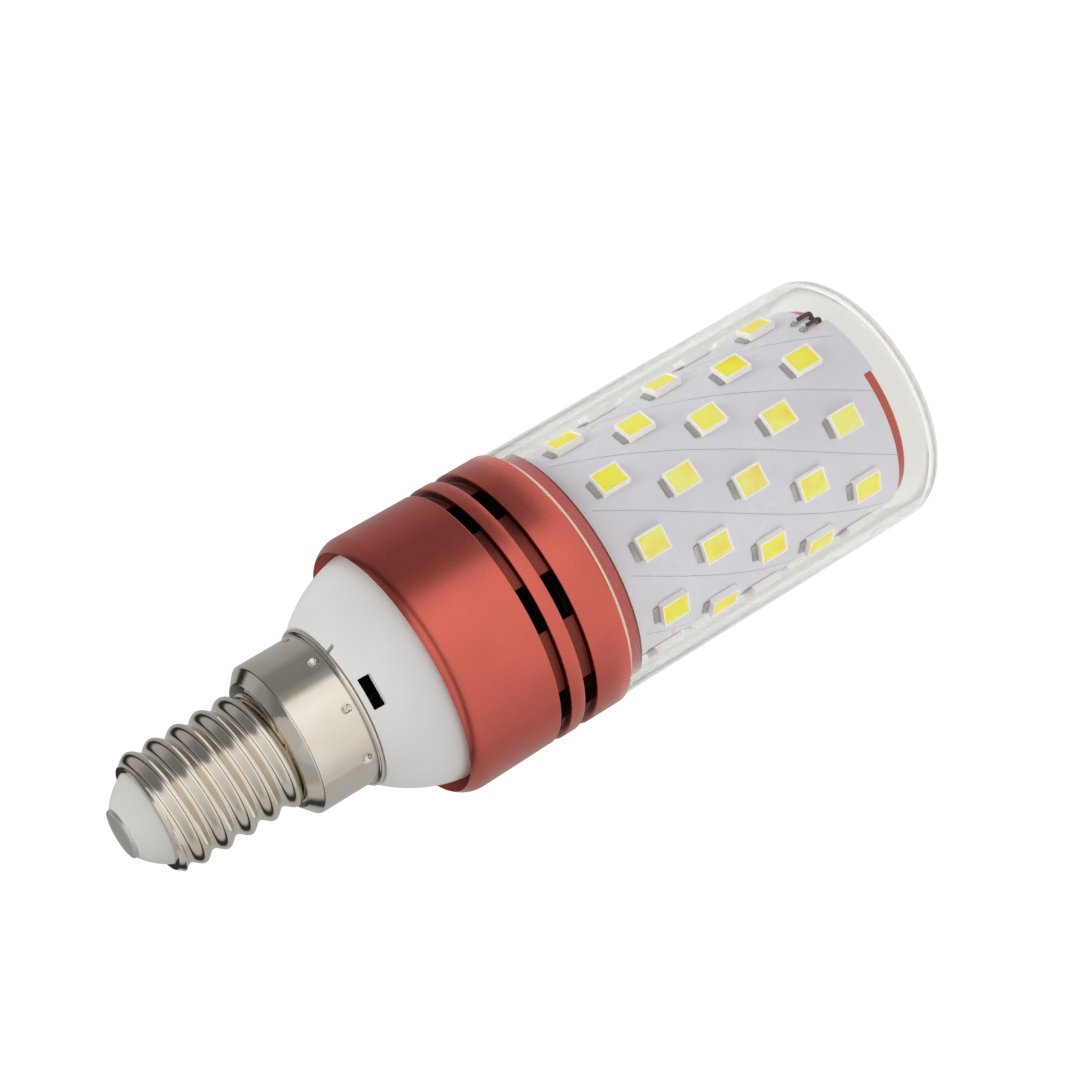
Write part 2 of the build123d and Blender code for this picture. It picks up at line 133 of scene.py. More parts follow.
class LampSizes(bpy.types.PropertyGroup):
    """Sizes of the lamp that the CAD boxes don't give."""
    cover_wall: length("Cover wall", 1.0, "Wall thickness of the clear cover")
    cover_corner: length("Cover corner", 3.0, "Outer rounding at the cover's flat end")
    spigot_gap: length("Spigot gap", 0.06, "Gap between the cover's bore and the spigot")
    deck_thickness: length("Deck", 3.0, "Thickness of the heat sink's deck")
    ring_bore: length("Ring bore", 13.0, "Inner radius of the heat-sink ring")
    ring_mouth: length("Ring mouth", 13.7, "Inner radius of the ring's rounded mouth")
    mouth_round: length("Mouth rounding", 3.0, "Outer rounding of the ring's mouth")
    mouth_lip: length("Mouth lip", 0.8, "Width of the mouth's inner rounding")
    mouth_fall: length("Mouth fall", 1.7, "Height of the mouth's inner rounding")
    groove_depth: length("Groove depth", 1.0, "Depth of the ring's two grooves")
    lower_groove: length("Lower groove", 4.55, "Its height over the ring's low end")
    lower_width: length("Lower groove width", 1.6, "Width of the lower groove")
    upper_groove: length("Upper groove", 7.95, "Its height over the ring's low end")
    upper_width: length("Upper groove width", 1.3, "Width of the upper groove")
    slot_count: count("Slots", 7, "Slots round each groove")
    slot_span: angle("Slot span", 21.0, "Angle that one slot covers")
    slot_angle: angle("Slot place", -7.0, "Angle of the first slot's middle")
    core_wall: length("Core wall", 0.8, "Wall thickness of the LED core")
    board_wall: length("Board wall", 0.5, "Thickness of the wrapped LED board")
    board_gap: length("Board set back", 1.4, "Length of core that stands out past the board")
    board_band: length("Board band", 1.6, "Width of the uncut band that joins the fingers")
    fingers: count("Fingers", 10, "Slanting fingers of the LED board")
    finger_lead: length("Finger lead", 139.0, "Height in which a finger would turn once")
    seam_width: length("Seam width", 0.12, "Gap between two fingers")
    seam_depth: length("Seam depth", 0.1, "Depth of that gap in the board")
    led_rows: count("LED rows", 5, "LEDs on each finger")
    led_pitch: length("LED pitch", 6.72, "Height between two LEDs of a finger")
    led_first: length("First LED", 5.0, "Height of the first LED over the board's low end")
    finger_angle: angle("Finger place", 15.4, "Angle of the first finger's middle")
    tab_angle: angle("Tab place", 25.5, "Angle of the tab at the board's low end")
    tab_span: angle("Tab span", 37.0, "Angle that the tab covers")
    led_length: length("LED length", 3.5, "Length of one LED package")
    led_width: length("LED width", 2.8, "Width of one LED package")
    led_height: length("LED height", 0.8, "Height of one LED package")
    window_length: length("Window length", 3.1, "Length of the LED's phosphor window")
    window_width: length("Window width", 2.45, "Width of the LED's phosphor window")
    joint_length: length("Joint length", 0.7, "Length of an LED's joint on the cap side")
    joint_width: length("Joint width", 2.2, "Width of an LED's joint")
    joint_height: length("Joint height", 0.18, "Height of an LED's joint")
    lead_radius: length("Lead radius", 0.23, "Radius of one LED lead")
    lead_bend: length("Lead bend", 0.5, "Length that a lead's corner takes up")
    lead_rise: length("Lead end", 1.1, "Height of a lead's end over the board's low end")
    housing_wall: length("Housing wall", 1.2, "Wall thickness of the driver housing")
    bowl_start: length("Bowl start", 1.1, "Depth in the ring at which the bowl starts")
    bowl_bulge: length("Bowl bulge", 0.65, "How far the bowl bows out")
    vent_count: count("Vents", 3, "Vents round the driver housing")
    vent_width: length("Vent width", 3.6, "Width of a vent")
    vent_rise: length("Vent height", 1.25, "Height of a vent")
    vent_angle: angle("Vent place", -3.0, "Angle of the first vent's middle")
    notch_angle: angle("Notch place", 33.5, "Angle of the notch in the housing's rim")
    shell_wall: length("Shell wall", 0.25, "Sheet thickness of the screw shell")
    skirt_radius: length("Skirt radius", 8.83, "Outer radius of the shell's skirt")
    skirt_length: length("Skirt length", 7.85, "Height of the CAD shell's skirt")
    shoulder_rise: length("Shoulder height", 1.25, "Height from the skirt to the thread")
    shoulder_reach: length("Shoulder width", 1.4, "Width of the shoulder's slope")
    lip_raise: length("Lip raise", 0.75, "Height of the lip over the CAD shell's low end")
    lip_height: length("Lip height", 0.6, "Height of the shell's lip")
    crest_radius: length("Crest radius", 6.945, "Outer radius of the thread")
    root_radius: length("Root radius", 6.145, "Radius of the thread's root")
    thread_pitch: length("Thread pitch", 2.822, "Height of one turn of the thread")
    thread_angle: angle("Thread place", -80.0, "Angle of the crest at the shell's end")
    front_step: length("Front step", 0.095, "How far the shell's end is under the root")
    dimple_count: count("Dimples", 9, "Crimp marks round the skirt")
    dimple_angle: angle("Dimple place", -4.9, "Angle of the first crimp mark")
    dimple_rise: length("Dimple height", 2.35, "Its height over the CAD shell's low end")
    dimple_radius: length("Dimple radius", 0.52, "Radius of one crimp mark")
    dimple_depth: length("Dimple depth", 0.32, "Depth of one crimp mark")
    insulator_rim: length("Insulator rim", 5.35, "Radius of the insulator at the shell's end")
    insulator_bulge: length("Insulator bulge", 0.22, "How far the insulator bows out")
    stem_radius: length("Stem bore", 0.9, "Radius of the bore for the contact's stem")


class LampColours(bpy.types.PropertyGroup):
    """Base colours of the lamp's materials."""
    red: colour("Anodised red", (0.60, 0.125, 0.095), "Colour of the anodised heat sink")
    nickel: colour("Nickel", (0.67, 0.63, 0.56), "Colour of the plated screw shell")
    housing: colour("Housing white", (0.725, 0.715, 0.70), "Colour of the driver housing")
    insulator: colour("Insulator white", (0.60, 0.585, 0.555), "Colour of the cap insulator")
    contact: colour("Contact grey", (0.62, 0.60, 0.55), "Colour of the centre contact")
    cover: colour("Cover tint", (0.865, 0.875, 0.85), "Tint of the clear cover")
    board: colour("Board white", (0.85, 0.815, 0.92), "Colour of the LED board")
    package: colour("LED resin", (0.94, 0.90, 0.88), "Colour of the LED packages")
    rose: colour("Spigot rose", (0.55, 0.12, 0.12), "Colour of the spigot in the cover")
    cream: colour("Spigot line", (0.92, 0.68, 0.56), "Colour of the pale line on the spigot")
    phosphor: colour("Phosphor", (0.92, 0.84, 0.0), "Deep colour of the LED windows")
    # Painted glare: the pale colour that the LED windows take where their shade attribute is high
    glare: colour("Phosphor glare", (0.95, 0.93, 0.36), "Pale colour of the LED windows")
    orange: colour("Phosphor orange", (0.95, 0.62, 0.01), "Warm colour of the LED windows")
    # Near-black tin: partly the joints' own dull tin, partly painted shadow that the LED packages
    # cast on them
    tin: colour("Tin", (0.025, 0.021, 0.02), "Colour of the solder joints")
    lead: colour("Lead insulation", (0.03, 0.022, 0.02), "Colour of the thin LED leads")


# How fast the thread runs out at the shell's end: height over radius
FRONT_TAPER = 1.2

# Gap between pieces that are pressed or glued together, in millimetres
SEAT = 0.02

# Share of an LED's joint that shows on the cover's side
FAR_JOINT = 0.4

# Angles of the two LED leads, in degrees
LEAD_ANGLES = (45.5, 52.5)

# Finishes of the driver parts: name, colour, roughness and metallic
BLACK_PACKAGE = ("black package", (0.015, 0.015, 0.017), 0.45, 0.0)
DRIVER_LOOKS = {
    "driver_board": ("driver laminate", (0.03, 0.16, 0.07), 0.4, 0.0),
    "electrolytic_capacitor": ("capacitor sleeve", (0.012, 0.014, 0.03), 0.3, 0.0),
    "film_capacitor": ("film capacitor", (0.62, 0.36, 0.03), 0.35, 0.0),
    "inductor_core": ("ferrite", (0.03, 0.03, 0.032), 0.5, 0.0),
    "inductor_winding": ("copper winding", (0.55, 0.2, 0.06), 0.3, 1.0),
    "fuse_resistor": ("resistor coating", (0.07, 0.2, 0.16), 0.5, 0.0),
    "bridge_rectifier": BLACK_PACKAGE,
    "driver_chip": BLACK_PACKAGE,
    "sense_resistors": BLACK_PACKAGE,
    "live_wire": ("red insulation", (0.4, 0.012, 0.008), 0.4, 0.0),
    "neutral_wire": ("dark insulation", (0.02, 0.018, 0.018), 0.4, 0.0),
}

# Camera: its lens in millimetres, its place in metres, and right, up and back in its view
CAMERA_LENS = 95.57
CAMERA_PLACE = (0.004014, -0.29037, 0.15587)
CAMERA_AXES = (
    (-0.51047, -0.31162, -0.80145), (0.85990, -0.18499, -0.47577), (0.0, -0.93203, 0.36239))

# Light that soft surfaces get from the sky and from the floor
SKY_LIGHT = 0.62
FLOOR_LIGHT = 0.55

# Soft lights: name, place in metres, size in metres and power in watts
LIGHTS = (("key", (0.22, -0.06, 0.42), 0.3, 0.8), ("fill", (-0.38, -0.3, 0.1), 0.4, 0.55))

# Brightness that the glossy surfaces see round the lamp, as (angle, brightness)
SURROUND = (
    (-180, 0.48), (-150, 0.5), (-110, 0.6), (-80, 0.75), (-50, 1.0), (-10, 1.15), (14, 1.28),
    (32, 1.15), (42, 0.42), (54, 0.27), (84, 0.28), (100, 0.42), (140, 0.5), (179, 0.48))

# The same along the lamp, as (height in millimetres, share of that brightness)
SURROUND_HEIGHTS = (
    (0, 1.0), (98, 1.0), (108, 0.06), (122, 0.06), (134, 1.1), (165, 1.1), (185, 0.8),
    (200, 0.8))


def sizes():
    """The lamp's sizes as properties of the scene."""
    return bpy.context.scene.lamp_sizes


def mm(name):
    """One of the lamp's lengths, in millimetres."""
    return getattr(sizes(), name) / MM


def deg(name):
    """One of the lamp's angles, in degrees."""
    return math.degrees(getattr(sizes(), name))


def tone(name):
    """One of the lamp's colours, with full alpha."""
    return (*getattr(bpy.context.scene.lamp_colours, name), 1.0)


def shaded(base, share):
    """A darker share of a colour."""
    return tuple(channel * share for channel in base[:3]) + (1.0,)


# Modelling steps that the operators share


def activate(piece):
    """Selects one object alone and makes it active."""
    bpy.ops.object.select_all(action="DESELECT")
    piece.select_set(True)
    bpy.context.view_layer.objects.active = piece


def named(piece, name):
    """Names an object and its mesh."""
    piece.name = name
    piece.data.name = name
    return piece


def softened(corners, steps=6):
    """Points of an outline whose (radius, height, rounding) corners are turned into arcs."""
    points = []
    for index, (radius, height, rounding) in enumerate(corners):
        here = Vector((radius, height))
        if rounding == 0:
            points.append(here)
            continue
        back = (Vector(corners[index - 1][:2]) - here).normalized()
        ahead = (Vector(corners[(index + 1) % len(corners)][:2]) - here).normalized()
        half = back.angle(ahead) / 2
        middle = here + (back + ahead).normalized() * (rounding / math.sin(half))
        first = here + back * (rounding / math.tan(half)) - middle
        last = here + ahead * (rounding / math.tan(half)) - middle
        opening = first.angle(last)
        for step in range(steps + 1):
            share = step / steps
            blend = first * math.sin((1 - share) * opening) + last * math.sin(share * opening)
            points.append(middle + blend / math.sin(opening))
    return points


def lathe(name, outline, sides, closed=False):
    """Turns an outline: a ring is drawn, then extruded and scaled from point to point."""
    points = [(max(radius, AXIS_RADIUS) * MM, height * MM) for radius, height in outline]
    if closed:
        points.append(points[0])
    radius, height = points[0]
    bpy.ops.object.select_all(action="DESELECT")
    bpy.ops.mesh.primitive_circle_add(vertices=sides, radius=radius, location=(0, 0, height))
    bpy.ops.object.transform_apply(location=True)
    bpy.ops.object.mode_set(mode="EDIT")
    bpy.ops.mesh.select_all(action="SELECT")
    for next_radius, next_height in points[1:]:
        bpy.ops.mesh.extrude_edges_move(
            TRANSFORM_OT_translate={"value": (0, 0, next_height - height)})
        ratio = next_radius / radius
        bpy.ops.transform.resize(value=(ratio, ratio, 1), center_override=(0, 0, 0))
        radius, height = next_radius, next_height
    close_mesh()
    return named(bpy.context.object, name)


def close_mesh():
    """Merges double vertices, turns all faces outwards and leaves edit mode."""
    bpy.ops.mesh.select_all(action="SELECT")
    bpy.ops.mesh.remove_doubles(threshold=AXIS_RADIUS * MM * 3)
    bpy.ops.mesh.normals_make_consistent(inside=False)
    bpy.ops.object.mode_set(mode="OBJECT")


def block(name, lowest, highest):
    """A cube primitive stretched between two corners given in millimetres."""
    bpy.ops.object.select_all(action="DESELECT")
    middle = [(a + b) / 2 * MM for a, b in zip(lowest, highest)]
    bpy.ops.mesh.primitive_cube_add(size=1, location=middle)
    piece = bpy.context.object
    piece.scale = [(b - a) * MM for a, b in zip(lowest, highest)]
    bpy.ops.object.transform_apply(location=True, scale=True)
    return named(piece, name)


def pick_faces(piece, axis, side, tolerance=0.7):
    """Leaves only the faces selected whose normal points along an axis to one side."""
    activate(piece)
    bpy.ops.object.mode_set(mode="EDIT")
    bpy.ops.mesh.select_mode(type="FACE")
    bpy.ops.mesh.select_all(action="DESELECT")
    bpy.ops.object.mode_set(mode="OBJECT")
    for face in piece.data.polygons:
        face.select = face.normal[axis] * side > tolerance
    bpy.ops.object.mode_set(mode="EDIT")


def taper(piece, axis, side, scale, centre=(0, 0, 0)):
    """Scales the faces on one side of a piece about a centre."""
    pick_faces(piece, axis, side)
    bpy.ops.transform.resize(value=scale, center_override=centre)
    bpy.ops.object.mode_set(mode="OBJECT")


def apply_modifier(piece, kind, **settings):
    """Adds one modifier with its settings and applies it."""
    activate(piece)
    modifier = piece.modifiers.new(kind.lower(), kind)
    for key, value in settings.items():
        setattr(modifier, key, value)
    bpy.ops.object.modifier_apply(modifier=modifier.name)


def soften_edges(piece, width, segments=3, limit=40.0):
    """Bevels the edges that are sharper than a limit in degrees."""
    apply_modifier(
        piece, "BEVEL", width=width * MM, segments=segments, limit_method="ANGLE",
        angle_limit=math.radians(limit), use_clamp_overlap=True)


def cut(piece, cutters):
    """Takes cutters, joined into one, out of a piece."""
    cutter = joined(cutters)
    apply_modifier(
        piece, "BOOLEAN", object=cutter, operation="DIFFERENCE", solver="EXACT")
    bpy.data.objects.remove(cutter, do_unlink=True)


def joined(pieces):
    """Joins pieces into the first one."""
    activate(pieces[0])
    for piece in pieces[1:]:
        piece.select_set(True)
    if len(pieces) > 1:
        bpy.ops.object.join()
    return pieces[0]


def copied(piece, matrix):
    """A copy with a mesh of its own, moved by a matrix."""
    twin = piece.copy()
    twin.data = piece.data.copy()
    bpy.context.scene.collection.objects.link(twin)
    twin.data.transform(matrix)
    return twin


def turn(degrees):
    """Rotation about the lamp's axis from the +X side to an angle of the frame."""
    return Matrix.Rotation(math.radians(degrees - 90), 4, "Z")


def smooth(piece, degrees=32.0):
    """Smooth shading with edges over the angle kept sharp."""
    activate(piece)
    bpy.ops.object.shade_smooth_by_angle(angle=math.radians(degrees))


def dress(piece, slot, look, *nodes, degrees=32.0):
    """Shades a piece, gives it its material and says where it belongs."""
    smooth(piece, degrees)
    piece.data.materials.clear()
    piece.data.materials.append(look)
    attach(piece, BODY)
    if nodes:
        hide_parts(*nodes)


# Node building


def add(tree, kind, links=None, **settings):
    """Adds a node, sets its properties and links or fills its inputs."""
    node = tree.nodes.new(kind)
    for key, value in settings.items():
        setattr(node, key, value)
    for key, value in (links or {}).items():
        if isinstance(value, bpy.types.NodeSocket):
            tree.links.new(value, node.inputs[key])
        else:
            node.inputs[key].default_value = value
    return node


def maths(tree, operation, *values, **settings):
    """One step of arithmetic; returns its result."""
    return add(tree, "ShaderNodeMath", dict(enumerate(values)), operation=operation,
               **settings).outputs[0]


def ranged(tree, value, low, high, start=0.0, end=1.0):
    """A value mapped from its own range, start to end, on to the range low to high."""
    return add(tree, "ShaderNodeMapRange", {
        "Value": value, "From Min": start, "From Max": end, "To Min": low,
        "To Max": high}).outputs["Result"]


def noise(tree, place, scale, detail, roughness, distortion=0.0):
    """Cloudy noise; returns its value."""
    return add(tree, "ShaderNodeTexNoise", {
        "Vector": place, "Scale": scale, "Detail": detail, "Roughness": roughness,
        "Distortion": distortion}).outputs["Fac"]


# Effects that the materials share: each builds its nodes and returns what it puts out


def mottle(tree, source):
    """Soft cloudy variation between two values."""
    cloud = noise(tree, source["Vector"], source["Scale"], 4.0, 0.55)
    return {"Value": ranged(tree, cloud, source["Low"], source["High"], 0.3, 0.7), "Mask": cloud}


def turned_lines(tree, source):
    """Fine lathe lines that run round the lamp's axis."""
    squeezed = add(tree, "ShaderNodeMapping", {
        "Vector": source["Vector"], "Scale": (0.012, 0.012, 1.0)})
    lines = noise(tree, squeezed.outputs["Vector"], source["Scale"], 3.0, 0.6)
    bump = add(tree, "ShaderNodeBump", {
        "Strength": source["Strength"], "Distance": source["Distance"], "Height": lines})
    return {"Lines": lines, "Normal": bump.outputs["Normal"]}


def handling_marks(tree, source):
    """Sparse smudges from handling."""
    haze = noise(tree, source["Vector"], source["Scale"], 5.0, 0.65, 0.8)
    return {"Smudges": ranged(tree, haze, 0.0, 1.0, 0.5, 0.75)}


def surface_grain(tree, source):
    """Fine moulded or plated grain as a bumped normal."""
    grain = noise(tree, source["Vector"], source["Scale"], 4.0, 0.6)
    bump = add(tree, "ShaderNodeBump", {
        "Strength": source["Strength"], "Distance": source["Distance"], "Height": grain,
        "Normal": source["Normal"]})
    return {"Normal": bump.outputs["Normal"]}


def turned_zone(tree, source):
    """Mask that is 1 between two heights and inside a radius, in millimetres."""
    parts = add(tree, "ShaderNodeSeparateXYZ", {"Vector": source["Vector"]})
    height = maths(tree, "MULTIPLY", parts.outputs["Z"], 1 / MM)
    flat = add(tree, "ShaderNodeVectorMath", {
        0: source["Vector"], 1: (1 / MM, 1 / MM, 0.0)}, operation="MULTIPLY")
    radius = add(tree, "ShaderNodeVectorMath", {0: flat.outputs["Vector"]}, operation="LENGTH")
    over = maths(tree, "GREATER_THAN", height, source["Low"])
    under = maths(tree, "LESS_THAN", height, source["High"])
    inside = maths(tree, "LESS_THAN", radius.outputs["Value"], source["Radius"])
    return {"Mask": maths(tree, "MULTIPLY", maths(tree, "MULTIPLY", over, under), inside)}


# Each effect by name: its builder, its inputs (None for a vector) and its outputs
EFFECTS = {
    "Mottle": (
        mottle, {"Vector": None, "Scale": 100.0, "Low": 0.0, "High": 1.0}, ("Value", "Mask")),
    "Turned lines": (
        turned_lines, {"Vector": None, "Scale": 9000.0, "Strength": 0.2, "Distance": 0.00002},
        ("Lines", "Normal")),
    "Handling marks": (handling_marks, {"Vector": None, "Scale": 160.0}, ("Smudges",)),
    "Surface grain": (
        surface_grain, {"Vector": None, "Scale": 3000.0, "Strength": 0.1, "Distance": 0.00003,
                        "Normal": None}, ("Normal",)),
    "Turned zone": (
        turned_zone, {"Vector": None, "Low": 0.0, "High": 1.0, "Radius": 15.0}, ("Mask",)),
}


def effect(name):
    """The node group of one shared effect, made on its first use."""
    tree = bpy.data.node_groups.get(name)
    if tree:
        return tree
    build, inputs, outputs = EFFECTS[name]
    tree = bpy.data.node_groups.new(name, "ShaderNodeTree")
    for label, default in inputs.items():
        kind = "NodeSocketVector" if default is None else "NodeSocketFloat"
        socket = tree.interface.new_socket(label, in_out="INPUT", socket_type=kind)
        if default is not None:
            socket.default_value = default
    for label in outputs:
        kind = "NodeSocketVector" if label == "Normal" else "NodeSocketFloat"
        tree.interface.new_socket(label, in_out="OUTPUT", socket_type=kind)
    source = tree.nodes.new("NodeGroupInput").outputs
    target = tree.nodes.new("NodeGroupOutput").inputs
    for label, result in build(tree, source).items():
        tree.links.new(result, target[label])
    return tree


def group(tree, name, links):
    """Adds one of the shared effects to a tree and returns its outputs."""
    return add(tree, "ShaderNodeGroup", links, node_tree=effect(name)).outputs


def new_look(name):
    """An empty material; returns it with its tree and object coordinates."""
    look = bpy.data.materials.new(name)
    look.use_nodes = True
    look.node_tree.nodes.clear()
    tree = look.node_tree
    return look, tree, tree.nodes.new("ShaderNodeTexCoord").outputs["Object"]


def mixed(tree, share, first, second):
    """A colour mixed from two by a mask."""
    return add(tree, "ShaderNodeMix", {
        "Factor": share, 6: first, 7: second}, data_type="RGBA").outputs[2]


def finish_look(tree, shader):
    """Sends a shader to the material's output."""
    out = tree.nodes.new("ShaderNodeOutputMaterial")
    tree.links.new(shader.outputs[0], out.inputs["Surface"])


def satin(name, base, shade, roughness, spread, grain, metallic=0.0, glow=0.0):
    """A material with cloudy colour, uneven roughness, smudges, a fine grain and, where asked, a
    painted glow.
    """
    made = bpy.data.materials.get(name)
    if made:
        return made
    look, tree, place = new_look(name)
    cloud = group(tree, "Mottle", {"Vector": place, "Scale": 130.0})
    marks = group(tree, "Handling marks", {"Vector": place})
    skin = group(tree, "Surface grain", {
        "Vector": place, "Scale": grain[0], "Strength": grain[1]})
    rough = ranged(tree, cloud["Mask"], roughness - spread, roughness + spread, 0.3, 0.7)
    finish_look(tree, add(tree, "ShaderNodeBsdfPrincipled", {
        "Base Color": mixed(tree, cloud["Value"], base, shaded(base, shade)),
        "Metallic": metallic, "Normal": skin["Normal"],
        "Roughness": maths(tree, "MULTIPLY_ADD", marks["Smudges"], spread, rough),
        "Emission Color": base, "Emission Strength": glow}))
    return look


def red_look():
    """Rose-red anodised aluminium with fine lathe lines, its zones toned by height, with painted
    shade in the grooves and along the spigot's low edge.
    """
    made = bpy.data.materials.get("red anodised")
    if made:
        return made
    look, tree, place = new_look("red anodised")
    lines = group(tree, "Turned lines", {"Vector": place, "Scale": 14000.0, "Strength": 0.012})
    cloud = group(tree, "Mottle", {"Vector": place, "Scale": 90.0})
    marks = group(tree, "Handling marks", {"Vector": place})
    skin = group(tree, "Surface grain", {
        "Vector": place, "Scale": 5200.0, "Strength": 0.02, "Normal": lines["Normal"]})
    base = tone("red")
    # Painted shade: the red darkened to three tenths, for the grooves and the spigot's low edge
    painted_shade_red = shaded(base, 0.3)
    tinted = mixed(tree, cloud["Value"], base, shaded(base, 0.86))
    in_grooves = RING_RADIUS - 0.3
    in_cover = RING_RADIUS - 1.0
    for first, last, inside, shade in (
            # Painted shade in the grooves: more than 0.3 mm in from the ring's outer face the red
            # turns dark
            (RING_LOW, RING_TOP - mm("mouth_round"), in_grooves, painted_shade_red),
            (SPIGOT_LOW, RING_LOW, in_cover, tone("rose")),
            (RING_LOW - 0.78, RING_LOW - 0.52, in_cover, tone("cream")),
            # Painted shade along the spigot's low edge
            (SPIGOT_LOW, SPIGOT_LOW + 0.28, in_cover, painted_shade_red)):
        zone = group(tree, "Turned zone", {
            "Vector": place, "Low": first, "High": last, "Radius": inside})
        tinted = mixed(tree, zone["Mask"], tinted, shade)
    rough = ranged(tree, lines["Lines"], 0.25, 0.29, 0.3, 0.7)
    finish_look(tree, add(tree, "ShaderNodeBsdfPrincipled", {
        "Base Color": tinted, "Metallic": 1.0, "Normal": skin["Normal"],
        "Roughness": maths(tree, "MULTIPLY_ADD", marks["Smudges"], 0.05, rough)}))
    return look


def nickel_look():
    """Bright nickel plate on drawn sheet, with a faint draw texture."""
    look, tree, place = new_look("nickel plate")
    lines = group(tree, "Turned lines", {
        "Vector": place, "Scale": 5000.0, "Strength": 0.06, "Distance": 0.00003})
    cloud = group(tree, "Mottle", {"Vector": place, "Scale": 210.0})
    marks = group(tree, "Handling marks", {"Vector": place, "Scale": 300.0})
    skin = group(tree, "Surface grain", {
        "Vector": place, "Scale": 900.0, "Strength": 0.10, "Distance": 0.00005,
        "Normal": lines["Normal"]})
    base = tone("nickel")
    warm = (base[0] * 0.94, base[1] * 0.90, base[2] * 0.84, 1.0)
    finish_look(tree, add(tree, "ShaderNodeBsdfPrincipled", {
        "Base Color": mixed(tree, cloud["Value"], base, warm), "Metallic": 1.0,
        "Roughness": ranged(tree, marks["Smudges"], 0.1, 0.2), "Normal": skin["Normal"]}))
    return look


def cover_look():
    """Clear plastic that lets the studio's light through to the LEDs."""
    look, tree, place = new_look("clear plastic")
    marks = group(tree, "Handling marks", {"Vector": place, "Scale": 120.0})
    skin = group(tree, "Surface grain", {
        "Vector": place, "Scale": 260.0, "Strength": 0.015, "Distance": 0.0001})
    glass = add(tree, "ShaderNodeBsdfPrincipled", {
        "Base Color": tone("cover"), "Roughness": ranged(tree, marks["Smudges"], 0.015, 0.06),
        "IOR": 1.22, "Transmission Weight": 1.0, "Normal": skin["Normal"]})
    clear = add(tree, "ShaderNodeBsdfTransparent", {"Color": tone("cover")})
    shadow = tree.nodes.new("ShaderNodeLightPath").outputs["Is Shadow Ray"]
    facing = tree.nodes.new("ShaderNodeLayerWeight").outputs["Facing"]
    share = maths(tree, "MAXIMUM", shadow, ranged(tree, facing, 0.0, 0.88, 0.55, 0.95))
    finish_look(tree, add(tree, "ShaderNodeMixShader", {
        0: share, 1: glass.outputs[0], 2: clear.outputs[0]}))
    return look


def phosphor_look():
    """Yellow silicone with painted glare, paler where the package's shade attribute is high, and a
    faint painted glow.
    """
    look, tree, place = new_look("phosphor")
    shade = add(tree, "ShaderNodeAttribute", attribute_name="shade", attribute_type="GEOMETRY")
    cloud = group(tree, "Mottle", {"Vector": place, "Scale": 700.0, "Low": -0.12, "High": 0.12})
    warmth = group(tree, "Mottle", {"Vector": place, "Scale": 420.0, "Low": -0.35, "High": 0.5})
    share = maths(tree, "ADD", shade.outputs["Fac"], cloud["Value"], use_clamp=True)
    # Painted glare mixed in by the shade attribute
    yellow = mixed(tree, share, tone("phosphor"), tone("glare"))
    tinted = mixed(tree, maths(tree, "MAXIMUM", warmth["Value"], 0.0), yellow, tone("orange"))
    skin = group(tree, "Surface grain", {"Vector": place, "Scale": 2500.0, "Strength": 0.15})
    # Painted glow: the windows give off a little light in their own colour
    finish_look(tree, add(tree, "ShaderNodeBsdfPrincipled", {
        "Base Color": tinted, "Roughness": ranged(tree, cloud["Mask"], 0.3, 0.46),
        "Normal": skin["Normal"], "Specular IOR Level": 0.12, "Emission Strength": 0.14,
        "Emission Color": tinted}))
    return look


# Geometry of single pieces


def groove(height, width):
    """Outline corners of one groove of the ring, from its low edge to its high edge."""
    floor = RING_RADIUS - mm("groove_depth")
    return [(RING_RADIUS, height, 0.12), (floor, height, 0.1), (floor, height + width, 0.1),
            (RING_RADIUS, height + width, 0.12)]


def ring_outline():
    """Outline of the heat sink with its spigot, grooves and rounded mouth."""
    mouth = mm("ring_mouth")
    bore = mm("ring_bore")
    rounding = mm("mouth_round")
    spigot = COVER_RADIUS - mm("cover_wall") - mm("spigot_gap")
    inside = CORE_RADIUS + SEAT
    deck_top = SPIGOT_LOW + mm("deck_thickness")
    lip = mouth + mm("mouth_lip")
    start = math.acos((rounding - RING_RADIUS + lip) / rounding)
    middle = RING_RADIUS - rounding
    round_low = RING_TOP - rounding * math.sin(start)
    corners = [
        (mouth, DRIVER_LOW, 0), (bore, DRIVER_LOW, 0.1), (bore, deck_top, 0),
        (inside, deck_top, 0.1), (inside, SPIGOT_LOW, 0.15), (spigot, SPIGOT_LOW, 0.2),
        (spigot, RING_LOW, 0), (RING_RADIUS, RING_LOW, 0.18)]
    corners += groove(RING_LOW + mm("lower_groove"), mm("lower_width"))
    corners += groove(RING_LOW + mm("upper_groove"), mm("upper_width"))
    points = softened(corners, 4)
    for step in range(15):
        turned = start * step / 14
        points.append((middle + rounding * math.cos(turned),
                       round_low + rounding * math.sin(turned)))
    points += bowed((lip, RING_TOP), (mouth, RING_TOP - mm("mouth_fall")), -0.12, 8)[1:]
    return points


def slot_cutters(height, width):
    """Blocks with radial ends that open the slots in one groove's floor."""
    inner = mm("ring_bore") - 0.6
    outer = RING_RADIUS - mm("groove_depth") * 0.3
    half = math.tan(sizes().slot_span / 2)
    cutters = []
    for index in range(sizes().slot_count):
        cutter = block("slot", (inner, -inner * half, height + 0.02),
                       (outer, inner * half, height + width - 0.02))
        taper(cutter, 0, 1, (1, outer / inner, 1))
        cutter.data.transform(turn(deg("slot_angle") + index * 360 / sizes().slot_count))
        cutters.append(cutter)
    return cutters


